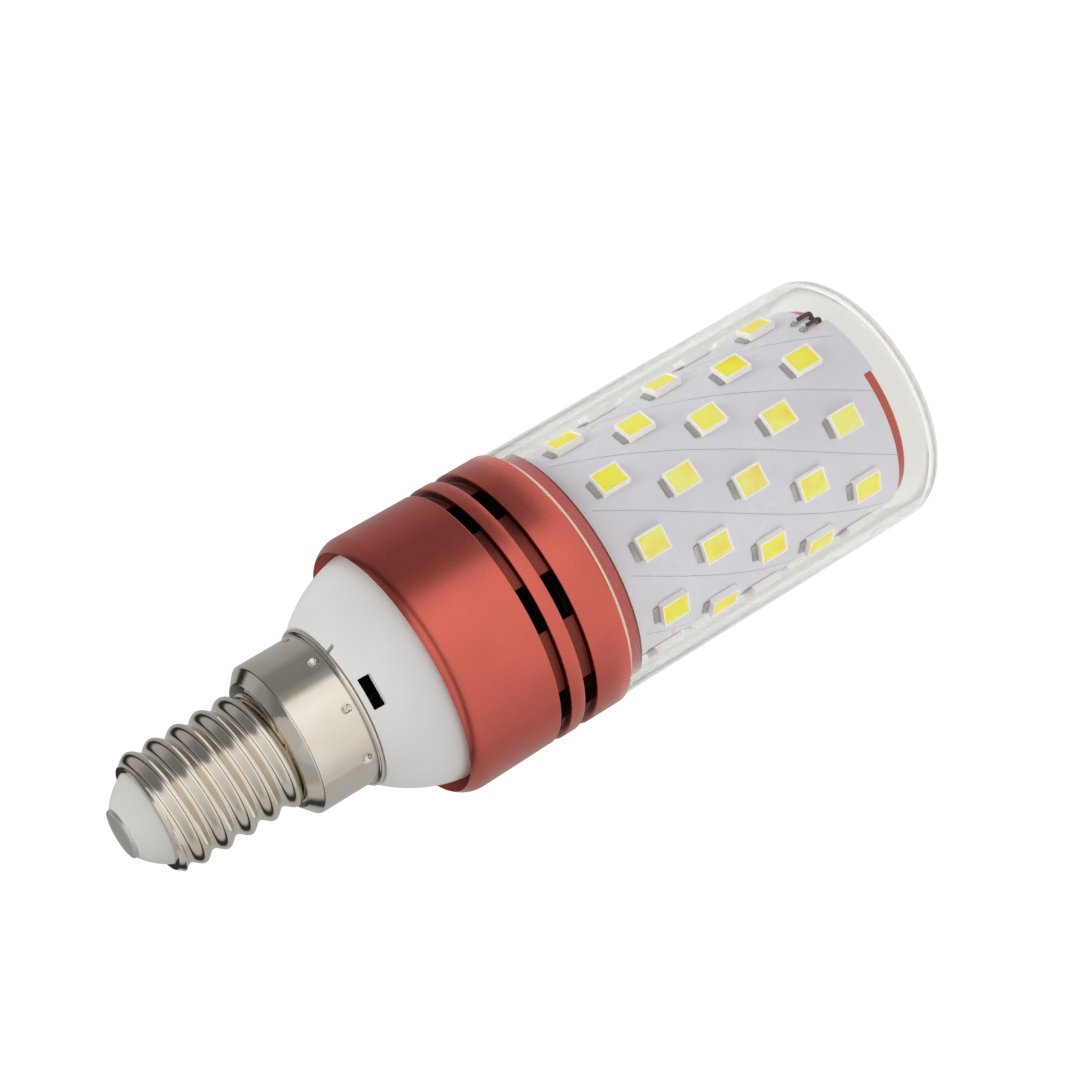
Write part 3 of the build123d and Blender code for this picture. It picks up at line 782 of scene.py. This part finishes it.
def seam_cutter():
    """A slanting blade that parts two fingers: a block's top is extruded and turned in steps."""
    steps = 36
    base = CORE_LOW + mm("board_gap")
    rise = (BOARD_TOP - base - mm("board_band")) / steps
    twist = 360 / mm("finger_lead") * rise
    half = mm("seam_width") / 2
    blade = block("seam", (BOARD_RADIUS - mm("seam_depth"), -half, base - 0.02),
                  (BOARD_RADIUS + 0.4, half, base))
    blade.data.transform(turn(deg("finger_angle") - 180 / sizes().fingers))
    pick_faces(blade, 2, 1)
    for _ in range(steps):
        bpy.ops.mesh.extrude_region_move(TRANSFORM_OT_translate={"value": (0, 0, rise * MM)})
        bpy.ops.transform.rotate(
            value=-math.radians(twist), orient_axis="Z", center_override=(0, 0, 0))
    bpy.ops.object.mode_set(mode="OBJECT")
    return blade


def board_tab():
    """Cutter that leaves one finger's tab standing past the board's low end."""
    radius = BOARD_RADIUS + 1
    base = CORE_LOW + mm("board_gap")
    tab = lathe("tab", [(0, CORE_LOW - 1), (radius, CORE_LOW - 1), (radius, base), (0, base)], 72)
    wedge = block("wedge", (0, -radius, CORE_LOW - 2), (radius * 2, radius, CORE_LOW + 3))
    taper(wedge, 0, -1, (1, 0.0001, 1))
    taper(wedge, 0, 1, (1, math.tan(sizes().tab_span / 2) * 2, 1))
    wedge.data.transform(turn(deg("tab_angle")))
    cut(tab, [wedge])
    return tab


def led_places():
    """Angle and height of every LED, finger by finger."""
    places = []
    twist = 360 / mm("finger_lead")
    pitch = 360 / sizes().fingers
    base = CORE_LOW + mm("board_gap")
    for finger in range(sizes().fingers):
        line = deg("finger_angle") + finger * pitch
        for row in range(sizes().led_rows):
            rise = mm("led_first") + row * mm("led_pitch")
            places.append((line + rise * twist, base + rise))
    return places


def led_package():
    """One LED body: a block with an inset, sunk window, softened edges and a cut corner."""
    base = BOARD_RADIUS + SEAT
    top = base + mm("led_height")
    wide = mm("led_width") / 2
    long = mm("led_length") / 2
    piece = block("led_frame", (base, -wide, -long), (top, wide, long))
    pick_faces(piece, 0, 1)
    bpy.ops.mesh.inset(thickness=(mm("led_width") - mm("window_width")) / 2 * MM)
    share = mm("window_length") / (mm("led_length") - mm("led_width") + mm("window_width"))
    centre = (top * MM, 0, 0)
    bpy.ops.transform.resize(value=(1, 1, share), center_override=centre)
    bpy.ops.mesh.extrude_region_move(TRANSFORM_OT_translate={"value": (-0.3 * MM, 0, 0)})
    bpy.ops.transform.resize(value=(1, 0.96, 0.97), center_override=centre)
    bpy.ops.object.mode_set(mode="OBJECT")
    corner = block("corner", (base - 1, wide - 0.28, -long - 1), (top + 1, wide + 1, -long + 0.28))
    middle = Matrix.Translation(Vector((0, wide, -long)) * MM)
    corner.data.transform(middle @ Matrix.Rotation(math.radians(45), 4, "X") @ middle.inverted()
                          @ Matrix.Translation(Vector((0, 0.24, -0.24)) * MM))
    cut(piece, [corner])
    soften_edges(piece, 0.05, 2)
    return piece


def phosphor_fill():
    """The yellow filling of a window, slightly crowned."""
    top = BOARD_RADIUS + SEAT + mm("led_height")
    wide = mm("window_width") / 2 * 0.985
    long = mm("window_length") / 2 * 0.985
    piece = block("led_phosphor", (top - 0.3, -wide, -long), (top - 0.09, wide, long))
    pick_faces(piece, 0, 1)
    for crown in (0.03, 0.015):
        bpy.ops.mesh.inset(thickness=0.28 * MM)
        bpy.ops.transform.translate(value=(crown * MM, 0, 0))
    bpy.ops.object.mode_set(mode="OBJECT")
    soften_edges(piece, 0.04, 2)
    return piece


def terminal_pair():
    """Solder fillets at both ends of an LED: sloped blocks with soft edges."""
    base = BOARD_RADIUS + SEAT
    end = mm("led_length") / 2
    wide = mm("joint_width") / 2
    fillets = []
    for side, reach in ((1, mm("joint_length")), (-1, mm("joint_length") * FAR_JOINT)):
        fillet = block("led_terminal", (base, -wide, end),
                       (base + mm("joint_height"), wide, end + reach))
        taper(fillet, 2, 1, (0.4, 0.92, 1), (base * MM, 0, 0))
        soften_edges(fillet, 0.05, 2)
        if side < 0:
            fillet.data.transform(Matrix.Rotation(math.pi, 4, "X"))
        fillets.append(fillet)
    return joined(fillets)


def on_leds(pattern, name):
    """Copies one pattern to every LED, with a shade attribute for each copy: a painted glare
    share, highest on LEDs that face angle -12, with a random spread.
    """
    chance = random.Random(7)
    copies = []
    for place, height in led_places():
        lift = Matrix.Translation((0, 0, height * MM))
        twin = copied(pattern, lift @ turn(place))
        shade = twin.data.attributes.new("shade", "FLOAT", "POINT")
        # Painted glare: LEDs that face angle -12 get a high share, and every LED a random spread
        side = math.cos(math.radians(place + 12))
        value = 0.2 + 0.55 * max(0.0, side) ** 6 + chance.uniform(-0.18, 0.18)
        for item in shade.data:
            item.value = value
        copies.append(twin)
    bpy.data.objects.remove(pattern, do_unlink=True)
    return named(joined(copies), name)


def bowed(start, end, bulge, steps):
    """Points of a shallow arc between two points; a positive bulge lies to its right."""
    start, end = Vector(start), Vector(end)
    chord = end - start
    half = chord.length / 2
    radius = (half * half + bulge * bulge) / (2 * abs(bulge))
    side = Vector((chord.y, -chord.x)).normalized() * math.copysign(1, bulge)
    middle = start + chord / 2 - side * (radius - abs(bulge))
    first = start - middle
    opening = first.angle_signed(end - middle)
    points = []
    for step in range(steps + 1):
        turned = first.copy()
        turned.rotate(Matrix.Rotation(-opening * step / steps, 2))
        points.append(middle + turned)
    return points


def tube(name, points, radius, bend):
    """A round wire along straight runs with rounded corners, made as a bevelled curve."""
    path = [Vector(points[0])]
    for before, here, after in zip(points, points[1:], points[2:]):
        before, here, after = Vector(before), Vector(here), Vector(after)
        for step in range(9):
            share = step / 8
            first = here + (before - here).normalized() * bend
            last = here + (after - here).normalized() * bend
            path.append(first.lerp(here, share).lerp(here.lerp(last, share), share))
    path.append(Vector(points[-1]))
    curve = bpy.data.curves.new(name, "CURVE")
    curve.dimensions = "3D"
    spline = curve.splines.new("POLY")
    spline.points.add(len(path) - 1)
    for point, place in zip(spline.points, path):
        point.co = (*(place * MM), 1.0)
    curve.bevel_depth = radius * MM
    curve.bevel_resolution = 4
    curve.use_fill_caps = True
    wire = bpy.data.objects.new(name, curve)
    bpy.context.scene.collection.objects.link(wire)
    activate(wire)
    bpy.ops.object.convert(target="MESH")
    return bpy.context.object


def vent_cutters(rim, wall, lean):
    """Blocks that open the vents, each with a wider recess behind it."""
    wide = mm("vent_width") / 2
    vent_top = SHELL_LOW + 0.17
    vent_low = vent_top - mm("vent_rise")
    behind = rim - 0.22
    hinge = Matrix.Translation(Vector((behind, 0, vent_top + 0.3)) * MM)
    cutters = []
    for index in range(sizes().vent_count):
        hole = block("vent", (rim - wall, -wide, vent_low), (rim + 2, wide, vent_top))
        soften_edges(hole, 0.12, 2)
        recess = block("recess", (rim - wall * 2, -wide - 1, vent_low - 1.2),
                       (behind, wide + 1, vent_top + 0.3))
        taper(recess, 0, 1, (1, 0.8, 1))
        recess.data.transform(hinge @ Matrix.Rotation(-lean, 4, "Y") @ hinge.inverted())
        for cutter in (hole, recess):
            cutter.data.transform(turn(deg("vent_angle") + index * 360 / sizes().vent_count))
            cutters.append(cutter)
    return cutters


def thread_radius(place, height):
    """Radius of the rolled thread at an angle and height, with its run-out at the front."""
    crest = mm("crest_radius")
    root = mm("root_radius")
    pitch = mm("thread_pitch")
    phase = ((height - SHELL_TOP) / pitch - (place - deg("thread_angle")) / 360) % 1
    wave = 0.5 + 0.5 * math.cos(2 * math.pi * phase)
    front = root - mm("front_step") + (SHELL_TOP - height) / FRONT_TAPER
    return min(root + (crest - root) * wave, front)


def ledge_height():
    """Height at which the shoulder ends and the thread starts."""
    return SHELL_LOW + mm("skirt_length") + mm("shoulder_rise")


def dimple_levels():
    """Heights of the shell's rows of vertices across the crimp marks."""
    middle = SHELL_LOW + mm("dimple_rise")
    return [middle + 0.14 * (step - 7.5) for step in range(16)]


def shell_outline():
    """Closed outline of the screw shell with levels close enough for thread and dimples."""
    wall = mm("shell_wall")
    skirt = mm("skirt_radius")
    inside = skirt - wall
    root = mm("root_radius")
    bore = root - wall
    lip_low = SHELL_LOW + mm("lip_raise")
    lip_top = lip_low + mm("lip_height")
    ledge = ledge_height()
    skirt_top = SHELL_LOW + mm("skirt_length")
    reach = mm("shoulder_reach")
    levels = dimple_levels()
    corners = [
        (inside, lip_low, 0), (LIP_RADIUS, lip_low, 0.22), (LIP_RADIUS, lip_top, 0.3),
        (skirt, lip_top, 0.12)]
    points = softened(corners[:1]) + softened(corners + [(skirt, skirt_top, 0)], 5)[1:-1]
    points += [Vector((skirt, level)) for level in levels]
    points += softened([
        (skirt, levels[-1] + 0.45, 0), (skirt, skirt_top, 0.45), (skirt - reach, ledge, 0.35),
        (root, ledge, 0)], 6)
    steps = 112
    points += [Vector((root, ledge + (SHELL_TOP - ledge) * step / steps))
               for step in range(1, steps + 1)]
    points += [Vector(corner) for corner in (
        (5.4, SHELL_TOP), (5.4, SHELL_TOP - wall), (bore, SHELL_TOP - wall),
        (bore, ledge - wall), (inside - reach, ledge - wall), (inside, skirt_top - 0.1),
        (inside, levels[-1] + 0.15))]
    points += [Vector((inside, level)) for level in reversed(levels)]
    return points


def shape_shell(piece):
    """Moves the shell's vertices into the rolled thread and the crimp dimples."""
    root = mm("root_radius")
    skirt = mm("skirt_radius")
    inside = skirt - mm("shell_wall")
    start = ledge_height() + 0.01
    middle = SHELL_LOW + mm("dimple_rise")
    size = mm("dimple_radius")
    spread = 360 / sizes().dimple_count
    for vertex in piece.data.vertices:
        radius = math.hypot(vertex.co.x, vertex.co.y) / MM
        height = vertex.co.z / MM
        place = math.degrees(math.atan2(vertex.co.x, -vertex.co.y))
        if abs(radius - root) < 0.01 and height > start:
            wanted = thread_radius(place, height)
        elif radius > inside - 0.01 and abs(height - middle) < 1.2:
            across = (place - deg("dimple_angle") + spread / 2) % spread - spread / 2
            away = math.hypot(math.radians(across) * skirt, height - middle)
            share = min(1.0, max(0.0, (1.15 * size - away) / (0.75 * size)))
            wanted = radius - mm("dimple_depth") * share * share * (3 - 2 * share)
        else:
            continue
        vertex.co.x *= wanted / radius
        vertex.co.y *= wanted / radius


# Operators, one for each piece or group of like pieces


class LampOperator:
    """What the lamp's operators share."""
    bl_options = {"REGISTER", "UNDO"}


class LAMP_OT_cover(LampOperator, bpy.types.Operator):
    """Model the clear cover as a thin beaker with a rounded edge"""
    bl_idname = "lamp.cover"
    bl_label = "Clear Cover"

    def execute(self, context):
        wall = mm("cover_wall")
        corner = mm("cover_corner")
        inside = COVER_RADIUS - wall
        outline = softened([
            (0, 0, 0), (COVER_RADIUS, 0, corner), (COVER_RADIUS, RING_LOW, 0.12),
            (inside, RING_LOW, 0.12), (inside, wall, corner - wall), (0, wall, 0)], 12)
        piece = lathe("clear_cover_shell", outline, 160)
        dress(piece, "clear_plastic", cover_look(), "clear_cover")
        return {"FINISHED"}


class LAMP_OT_heat_sink(LampOperator, bpy.types.Operator):
    """Turn the red ring and cut the slots through its two grooves"""
    bl_idname = "lamp.heat_sink"
    bl_label = "Heat Sink"

    def execute(self, context):
        piece = lathe("heat_sink_ring", ring_outline(), 180, closed=True)
        cutters = slot_cutters(RING_LOW + mm("lower_groove"), mm("lower_width"))
        cutters += slot_cutters(RING_LOW + mm("upper_groove"), mm("upper_width"))
        cut(piece, cutters)
        dress(piece, "red_anodised", red_look(), "heat_sink")
        return {"FINISHED"}


class LAMP_OT_core(LampOperator, bpy.types.Operator):
    """Turn the closed tube under the LED board and notch it for the leads"""
    bl_idname = "lamp.core"
    bl_label = "LED Core"

    def execute(self, context):
        wall = mm("core_wall")
        inside = CORE_RADIUS - wall
        outline = softened([
            (0, CORE_LOW, 0), (CORE_RADIUS, CORE_LOW, 0.25), (CORE_RADIUS, CORE_TOP, 0),
            (inside, CORE_TOP, 0), (inside, CORE_LOW + wall, 0), (0, CORE_LOW + wall, 0)], 5)
        piece = lathe("led_core_tube", outline, 144)
        cutters = []
        for place in LEAD_ANGLES:
            notch = block("notch", (CORE_RADIUS - 2, -0.45, CORE_LOW + 0.02),
                          (CORE_RADIUS + 1, 0.45, CORE_LOW + mm("board_gap") - 0.02))
            notch.data.transform(turn(place))
            cutters.append(notch)
        cut(piece, cutters)
        dress(piece, "red_anodised", red_look(), "led_core")
        return {"FINISHED"}


class LAMP_OT_board(LampOperator, bpy.types.Operator):
    """Turn the wrapped board and part it into slanting fingers, one of them longer"""
    bl_idname = "lamp.board"
    bl_label = "LED Board"

    def execute(self, context):
        inside = BOARD_RADIUS - mm("board_wall")
        outline = softened([
            (inside, CORE_LOW, 0), (BOARD_RADIUS, CORE_LOW, 0.06), (BOARD_RADIUS, BOARD_TOP, 0.06),
            (inside, BOARD_TOP, 0)], 3)
        piece = lathe("led_board_fingers", outline, 180, closed=True)
        blade = seam_cutter()
        pitch = 360 / sizes().fingers
        blades = [copied(blade, Matrix.Rotation(math.radians(pitch * index), 4, "Z"))
                  for index in range(sizes().fingers)]
        bpy.data.objects.remove(blade, do_unlink=True)
        cut(piece, blades)
        cut(piece, [board_tab()])
        dress(piece, "white_board", satin(
            "white board", tone("board"), 0.93, 0.3, 0.05, (2600.0, 0.05)), "led_board")
        return {"FINISHED"}


class LAMP_OT_leds(LampOperator, bpy.types.Operator):
    """Model one LED and copy it along every finger"""
    bl_idname = "lamp.leds"
    bl_label = "LEDs"

    def execute(self, context):
        frames = on_leds(led_package(), "led_packages")
        # Painted glow: the white LED packages give off a little light in their own colour
        dress(frames, "led_white", satin(
            "LED resin", tone("package"), 0.96, 0.38, 0.06, (2600.0, 0.06), glow=0.16),
              "led_frames")
        fills = on_leds(phosphor_fill(), "led_windows")
        dress(fills, "phosphor", phosphor_look(), "led_phosphors")
        joints = on_leds(terminal_pair(), "led_joints")
        # Joints in near-black tin: partly dull tin, partly painted shadow from the packages
        dress(joints, "tin", satin(
            "tin", tone("tin"), 0.7, 0.4, 0.08, (3200.0, 0.2), metallic=0.2), "led_terminals")
        return {"FINISHED"}


class LAMP_OT_leads(LampOperator, bpy.types.Operator):
    """Model the two thin leads at the core's far end and their solder joints"""
    bl_idname = "lamp.leads"
    bl_label = "LED Leads"

    def execute(self, context):
        level = CORE_LOW + 0.65
        inner = CORE_RADIUS - mm("core_wall") - 0.6
        outer = BOARD_RADIUS + 0.35
        end = CORE_LOW + mm("board_gap") + mm("lead_rise")
        leads = []
        joints = []
        for place in LEAD_ANGLES:
            route = [(inner, 0, DRIVER_LOW), (inner, 0, level), (outer, 0, level), (outer, 0, end)]
            lead = tube("led_lead", route, mm("lead_radius"), mm("lead_bend"))
            lead.data.transform(turn(place))
            leads.append(lead)
            drop = lathe("led_joint", softened([
                (0, 0, 0), (0.49, 0, 0), (0.32, 0.12, 0.15), (0.22, 0.33, 0.1),
                (0, 0.35, 0)], 4), 32)
            drop.data.transform(turn(place) @ Matrix.Translation(
                Vector((BOARD_RADIUS + 0.03, 0, end + 0.5)) * MM) @ Matrix.Rotation(
                    math.radians(90), 4, "Y"))
            joints.append(drop)
        wires = joined(leads)
        wires.name = "led_leads_pair"
        dress(wires, "black_insulation", satin(
            "lead insulation", tone("lead"), 0.8, 0.45, 0.06, (4000.0, 0.1)), "led_leads")
        solder = joined(joints)
        solder.name = "lead_joints"
        # The lead joints share the near-black tin: partly dull tin, partly painted shade
        dress(solder, "tin", bpy.data.materials["tin"], "lead_solder")
        return {"FINISHED"}


class LAMP_OT_housing(LampOperator, bpy.types.Operator):
    """Turn the white driver housing and open its vents under the cap"""
    bl_idname = "lamp.housing"
    bl_label = "Driver Housing"

    def execute(self, context):
        wall = mm("housing_wall")
        bulge = mm("bowl_bulge")
        bowl_low = RING_TOP - mm("bowl_start")
        bowl_top = SHELL_LOW + mm("lip_raise") - 0.05
        rim = LIP_RADIUS + 0.12
        collar = mm("skirt_radius") - mm("shell_wall") - 0.05
        points = softened([
            (SLEEVE_RADIUS - wall, SLEEVE_LOW, 0), (SLEEVE_RADIUS, SLEEVE_LOW, 0.2),
            (SLEEVE_RADIUS, bowl_low, 0)], 4)[:-1]
        points += bowed((SLEEVE_RADIUS, bowl_low), (rim, bowl_top), bulge, 28)[:-1]
        points += softened([
            (rim + 0.3, bowl_top - 0.3, 0), (rim, bowl_top, 0.14), (collar, bowl_top, 0.05),
            (collar, COLLAR_TOP, 0.2), (collar - wall, COLLAR_TOP, 0.2),
            (collar - wall, bowl_top - wall, 0.3), (rim - wall, bowl_top - wall, 0)], 4)[1:]
        points += bowed(
            (rim - wall, bowl_top - wall), (SLEEVE_RADIUS - wall, bowl_low), -bulge, 20)[1:]
        piece = lathe("driver_housing_bowl", points, 180, closed=True)
        lean = math.atan2(SLEEVE_RADIUS - rim, bowl_top - bowl_low)
        for cutter in vent_cutters(rim, wall, lean):
            cut(piece, [cutter])
        notch = block("notch", (rim - 0.7, -0.24, bowl_top - 0.75),
                      (rim + 2, 0.24, bowl_top + 0.02))
        notch.data.transform(turn(deg("notch_angle")))
        cut(piece, [notch])
        dress(piece, "white_plastic", satin(
            "white housing", tone("housing"), 0.96, 0.36, 0.05, (2200.0, 0.05)),
              "driver_housing")
        return {"FINISHED"}


class LAMP_OT_shell(LampOperator, bpy.types.Operator):
    """Turn the nickel screw shell, roll its thread and press its crimp dimples"""
    bl_idname = "lamp.shell"
    bl_label = "Screw Shell"

    def execute(self, context):
        piece = lathe("screw_shell_rolled", shell_outline(), 252, closed=True)
        shape_shell(piece)
        dress(piece, "nickel", nickel_look(), "screw_shell", degrees=50.0)
        return {"FINISHED"}


class LAMP_OT_tip(LampOperator, bpy.types.Operator):
    """Turn the white insulator and the centre contact"""
    bl_idname = "lamp.tip"
    bl_label = "Insulator and Contact"

    def execute(self, context):
        rim = mm("insulator_rim")
        stem = mm("stem_radius")
        top = CONTACT_RADIUS + 0.1
        under = SHELL_TOP - mm("shell_wall") - 0.05
        points = softened([
            (top + 0.4, INSULATOR_TOP - 0.4, 0), (top, INSULATOR_TOP, 0.1),
            (stem, INSULATOR_TOP, 0), (stem, PLUG_LOW, 0), (PLUG_RADIUS, PLUG_LOW, 0.2),
            (PLUG_RADIUS, under, 0), (rim, under, 0), (rim, SHELL_TOP, 0)], 4)[1:]
        points += bowed(
            (rim, SHELL_TOP), (top, INSULATOR_TOP), mm("insulator_bulge"), 16)[1:-1]
        piece = lathe("cap_insulator_cone", points, 120, closed=True)
        dress(piece, "insulator_plastic", satin(
            "white insulator", tone("insulator"), 0.95, 0.5, 0.05, (1800.0, 0.08)),
              "cap_insulator")
        core = stem - 0.05
        contact = lathe("centre_contact_disc", softened([
            (0, CONTACT_TOP - 0.06, 0), (CONTACT_RADIUS - 0.55, CONTACT_TOP - 0.06, 0.2),
            (CONTACT_RADIUS - 0.35, CONTACT_TOP, 0.1), (CONTACT_RADIUS, CONTACT_TOP - 0.12, 0.1),
            (CONTACT_RADIUS, INSULATOR_TOP, 0), (core, INSULATOR_TOP, 0), (core, STEM_LOW, 0),
            (core - 0.25, STEM_LOW, 0), (core - 0.25, INSULATOR_TOP, 0),
            (0, INSULATOR_TOP, 0)], 4), 96)
        dress(contact, "contact_metal", satin(
            "contact metal", tone("contact"), 0.85, 0.4, 0.08, (2600.0, 0.15), metallic=0.85),
              "centre_contact")
        return {"FINISHED"}


class LAMP_OT_driver(LampOperator, bpy.types.Operator):
    """Give the driver parts inside the housing their finishes"""
    bl_idname = "lamp.driver"
    bl_label = "Driver Finishes"

    def execute(self, context):
        for node, (name, base, roughness, metallic) in DRIVER_LOOKS.items():
            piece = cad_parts[node]
            look = satin(name, (*base, 1.0), 0.85, roughness, 0.05, (2400.0, 0.08), metallic)
            piece.data.materials.clear()
            piece.data.materials.append(look)
        return {"FINISHED"}


class LAMP_OT_studio(LampOperator, bpy.types.Operator):
    """Set the camera, the pale floor and the soft studio light"""
    bl_idname = "lamp.studio"
    bl_label = "Studio"

    def execute(self, context):
        scene = context.scene
        scene.view_settings.view_transform = "Standard"
        add_camera(scene)
        add_world(scene)
        add_floor()
        add_surround()
        add_lights()
        return {"FINISHED"}


def add_camera(scene):
    """Camera at the photograph's viewing angle."""
    data = bpy.data.cameras.new("camera")
    data.lens = CAMERA_LENS
    data.sensor_width = 36.0
    data.clip_start = 0.01
    camera = bpy.data.objects.new("camera", data)
    scene.collection.objects.link(camera)
    place = Matrix(CAMERA_AXES).transposed().to_4x4()
    place.translation = CAMERA_PLACE
    camera.matrix_world = place
    scene.camera = camera


def add_world(scene):
    """Even pale light from all round, white where the camera sees it."""
    world = bpy.data.worlds.new("studio")
    world.use_nodes = True
    scene.world = world
    tree = world.node_tree
    tree.nodes.clear()
    seen = tree.nodes.new("ShaderNodeLightPath").outputs["Is Camera Ray"]
    sky = add(tree, "ShaderNodeBackground", {
        "Color": (1.0, 1.0, 1.0, 1.0), "Strength": ranged(tree, seen, SKY_LIGHT, 1.0)})
    out = tree.nodes.new("ShaderNodeOutputWorld")
    tree.links.new(sky.outputs[0], out.inputs["Surface"])


def add_floor():
    """A plain white floor that glows as pale as the photograph's background."""
    bpy.ops.object.select_all(action="DESELECT")
    bpy.ops.mesh.primitive_plane_add(size=4.0, location=(0, 0, -0.00002))
    floor = bpy.context.object
    floor.name = "floor"
    look, tree, place = new_look("floor")
    cloud = group(tree, "Mottle", {"Vector": place, "Scale": 3.0, "Low": 0.5, "High": 0.6})
    soft = tree.nodes.new("ShaderNodeLightPath").outputs["Is Diffuse Ray"]
    finish_look(tree, add(tree, "ShaderNodeBsdfPrincipled", {
        "Base Color": (0.06, 0.06, 0.06, 1.0), "Roughness": cloud["Value"],
        "Specular IOR Level": 0.0, "Emission Color": (1.0, 1.0, 1.0, 1.0),
        "Emission Strength": ranged(tree, soft, 1.0, FLOOR_LIGHT)}))
    floor.data.materials.append(look)


def ramp(tree, share, stops):
    """A grey ramp through (position, brightness) stops; returns its colour."""
    node = add(tree, "ShaderNodeValToRGB", {"Fac": share})
    elements = node.color_ramp.elements
    while len(elements) < len(stops):
        elements.new(0.5)
    for element, (position, level) in zip(elements, stops):
        element.position = position
        element.color = (level, level, level, 1.0)
    return node.outputs["Color"]


def add_surround():
    """A ring of cards that only glossy surfaces see, bright and dark by turns."""
    bpy.ops.object.select_all(action="DESELECT")
    bpy.ops.mesh.primitive_cylinder_add(
        vertices=96, radius=0.1, depth=0.4, end_fill_type="NOTHING", location=(0, 0, 0.206))
    cards = bpy.context.object
    bpy.ops.object.transform_apply(location=True)
    cards.name = "cards"
    for ray in ("camera", "diffuse", "transmission", "volume_scatter", "shadow"):
        setattr(cards, "visible_" + ray, False)
    look, tree, place = new_look("cards")
    radial = add(tree, "ShaderNodeTexGradient", {"Vector": place}, gradient_type="RADIAL")
    around = sorted(((turned / 360 + 0.25) % 1, level) for turned, level in SURROUND)
    along = [(height * 5 * MM, level) for height, level in SURROUND_HEIGHTS]
    parts = add(tree, "ShaderNodeSeparateXYZ", {"Vector": place})
    rise = maths(tree, "MULTIPLY", parts.outputs["Z"], 5.0)
    finish_look(tree, add(tree, "ShaderNodeEmission", {
        "Color": ramp(tree, radial.outputs["Fac"], around), "Strength": ramp(tree, rise, along)}))
    cards.data.materials.append(look)


def add_lights():
    """Large soft lights: a key above the cap and a fill from the other side."""
    for name, place, size, power in LIGHTS:
        data = bpy.data.lights.new(name, "AREA")
        data.shape = "DISK"
        data.size = size
        data.energy = power
        light = bpy.data.objects.new(name, data)
        bpy.context.scene.collection.objects.link(light)
        light.location = place
        light.visible_glossy = False
        aim = Vector((0, 0, 0.05)) - Vector(place)
        light.rotation_euler = aim.to_track_quat("-Z", "Y").to_euler()


class LAMP_PT_panel(bpy.types.Panel):
    """Lists the lamp's operators with its sizes and colours"""
    bl_label = "LED Corn Lamp"
    bl_idname = "LAMP_PT_panel"
    bl_space_type = "VIEW_3D"
    bl_region_type = "UI"
    bl_category = "Lamp"

    def draw(self, context):
        for operator in OPERATORS:
            self.layout.operator(operator.bl_idname)
        for settings in (context.scene.lamp_sizes, context.scene.lamp_colours):
            box = self.layout.box()
            for name in settings.bl_rna.properties.keys():
                if name not in ("rna_type", "name"):
                    box.prop(settings, name)


OPERATORS = (
    LAMP_OT_cover, LAMP_OT_heat_sink, LAMP_OT_core, LAMP_OT_board, LAMP_OT_leds, LAMP_OT_leads,
    LAMP_OT_housing, LAMP_OT_shell, LAMP_OT_tip, LAMP_OT_driver, LAMP_OT_studio)


def register():
    """Registers the properties, operators and panel."""
    for kind in (LampSizes, LampColours, *OPERATORS, LAMP_PT_panel):
        bpy.utils.register_class(kind)
    bpy.types.Scene.lamp_sizes = bpy.props.PointerProperty(type=LampSizes)
    bpy.types.Scene.lamp_colours = bpy.props.PointerProperty(type=LampColours)


def unregister():
    """Removes the properties, operators and panel."""
    del bpy.types.Scene.lamp_colours
    del bpy.types.Scene.lamp_sizes
    for kind in reversed((LampSizes, LampColours, *OPERATORS, LAMP_PT_panel)):
        bpy.utils.unregister_class(kind)


def main():
    """Builds the whole lamp."""
    register()
    for operator in OPERATORS:
        group_name, call_name = operator.bl_idname.split(".")
        getattr(getattr(bpy.ops, group_name), call_name)()


if __name__ == "__main__":
    main()
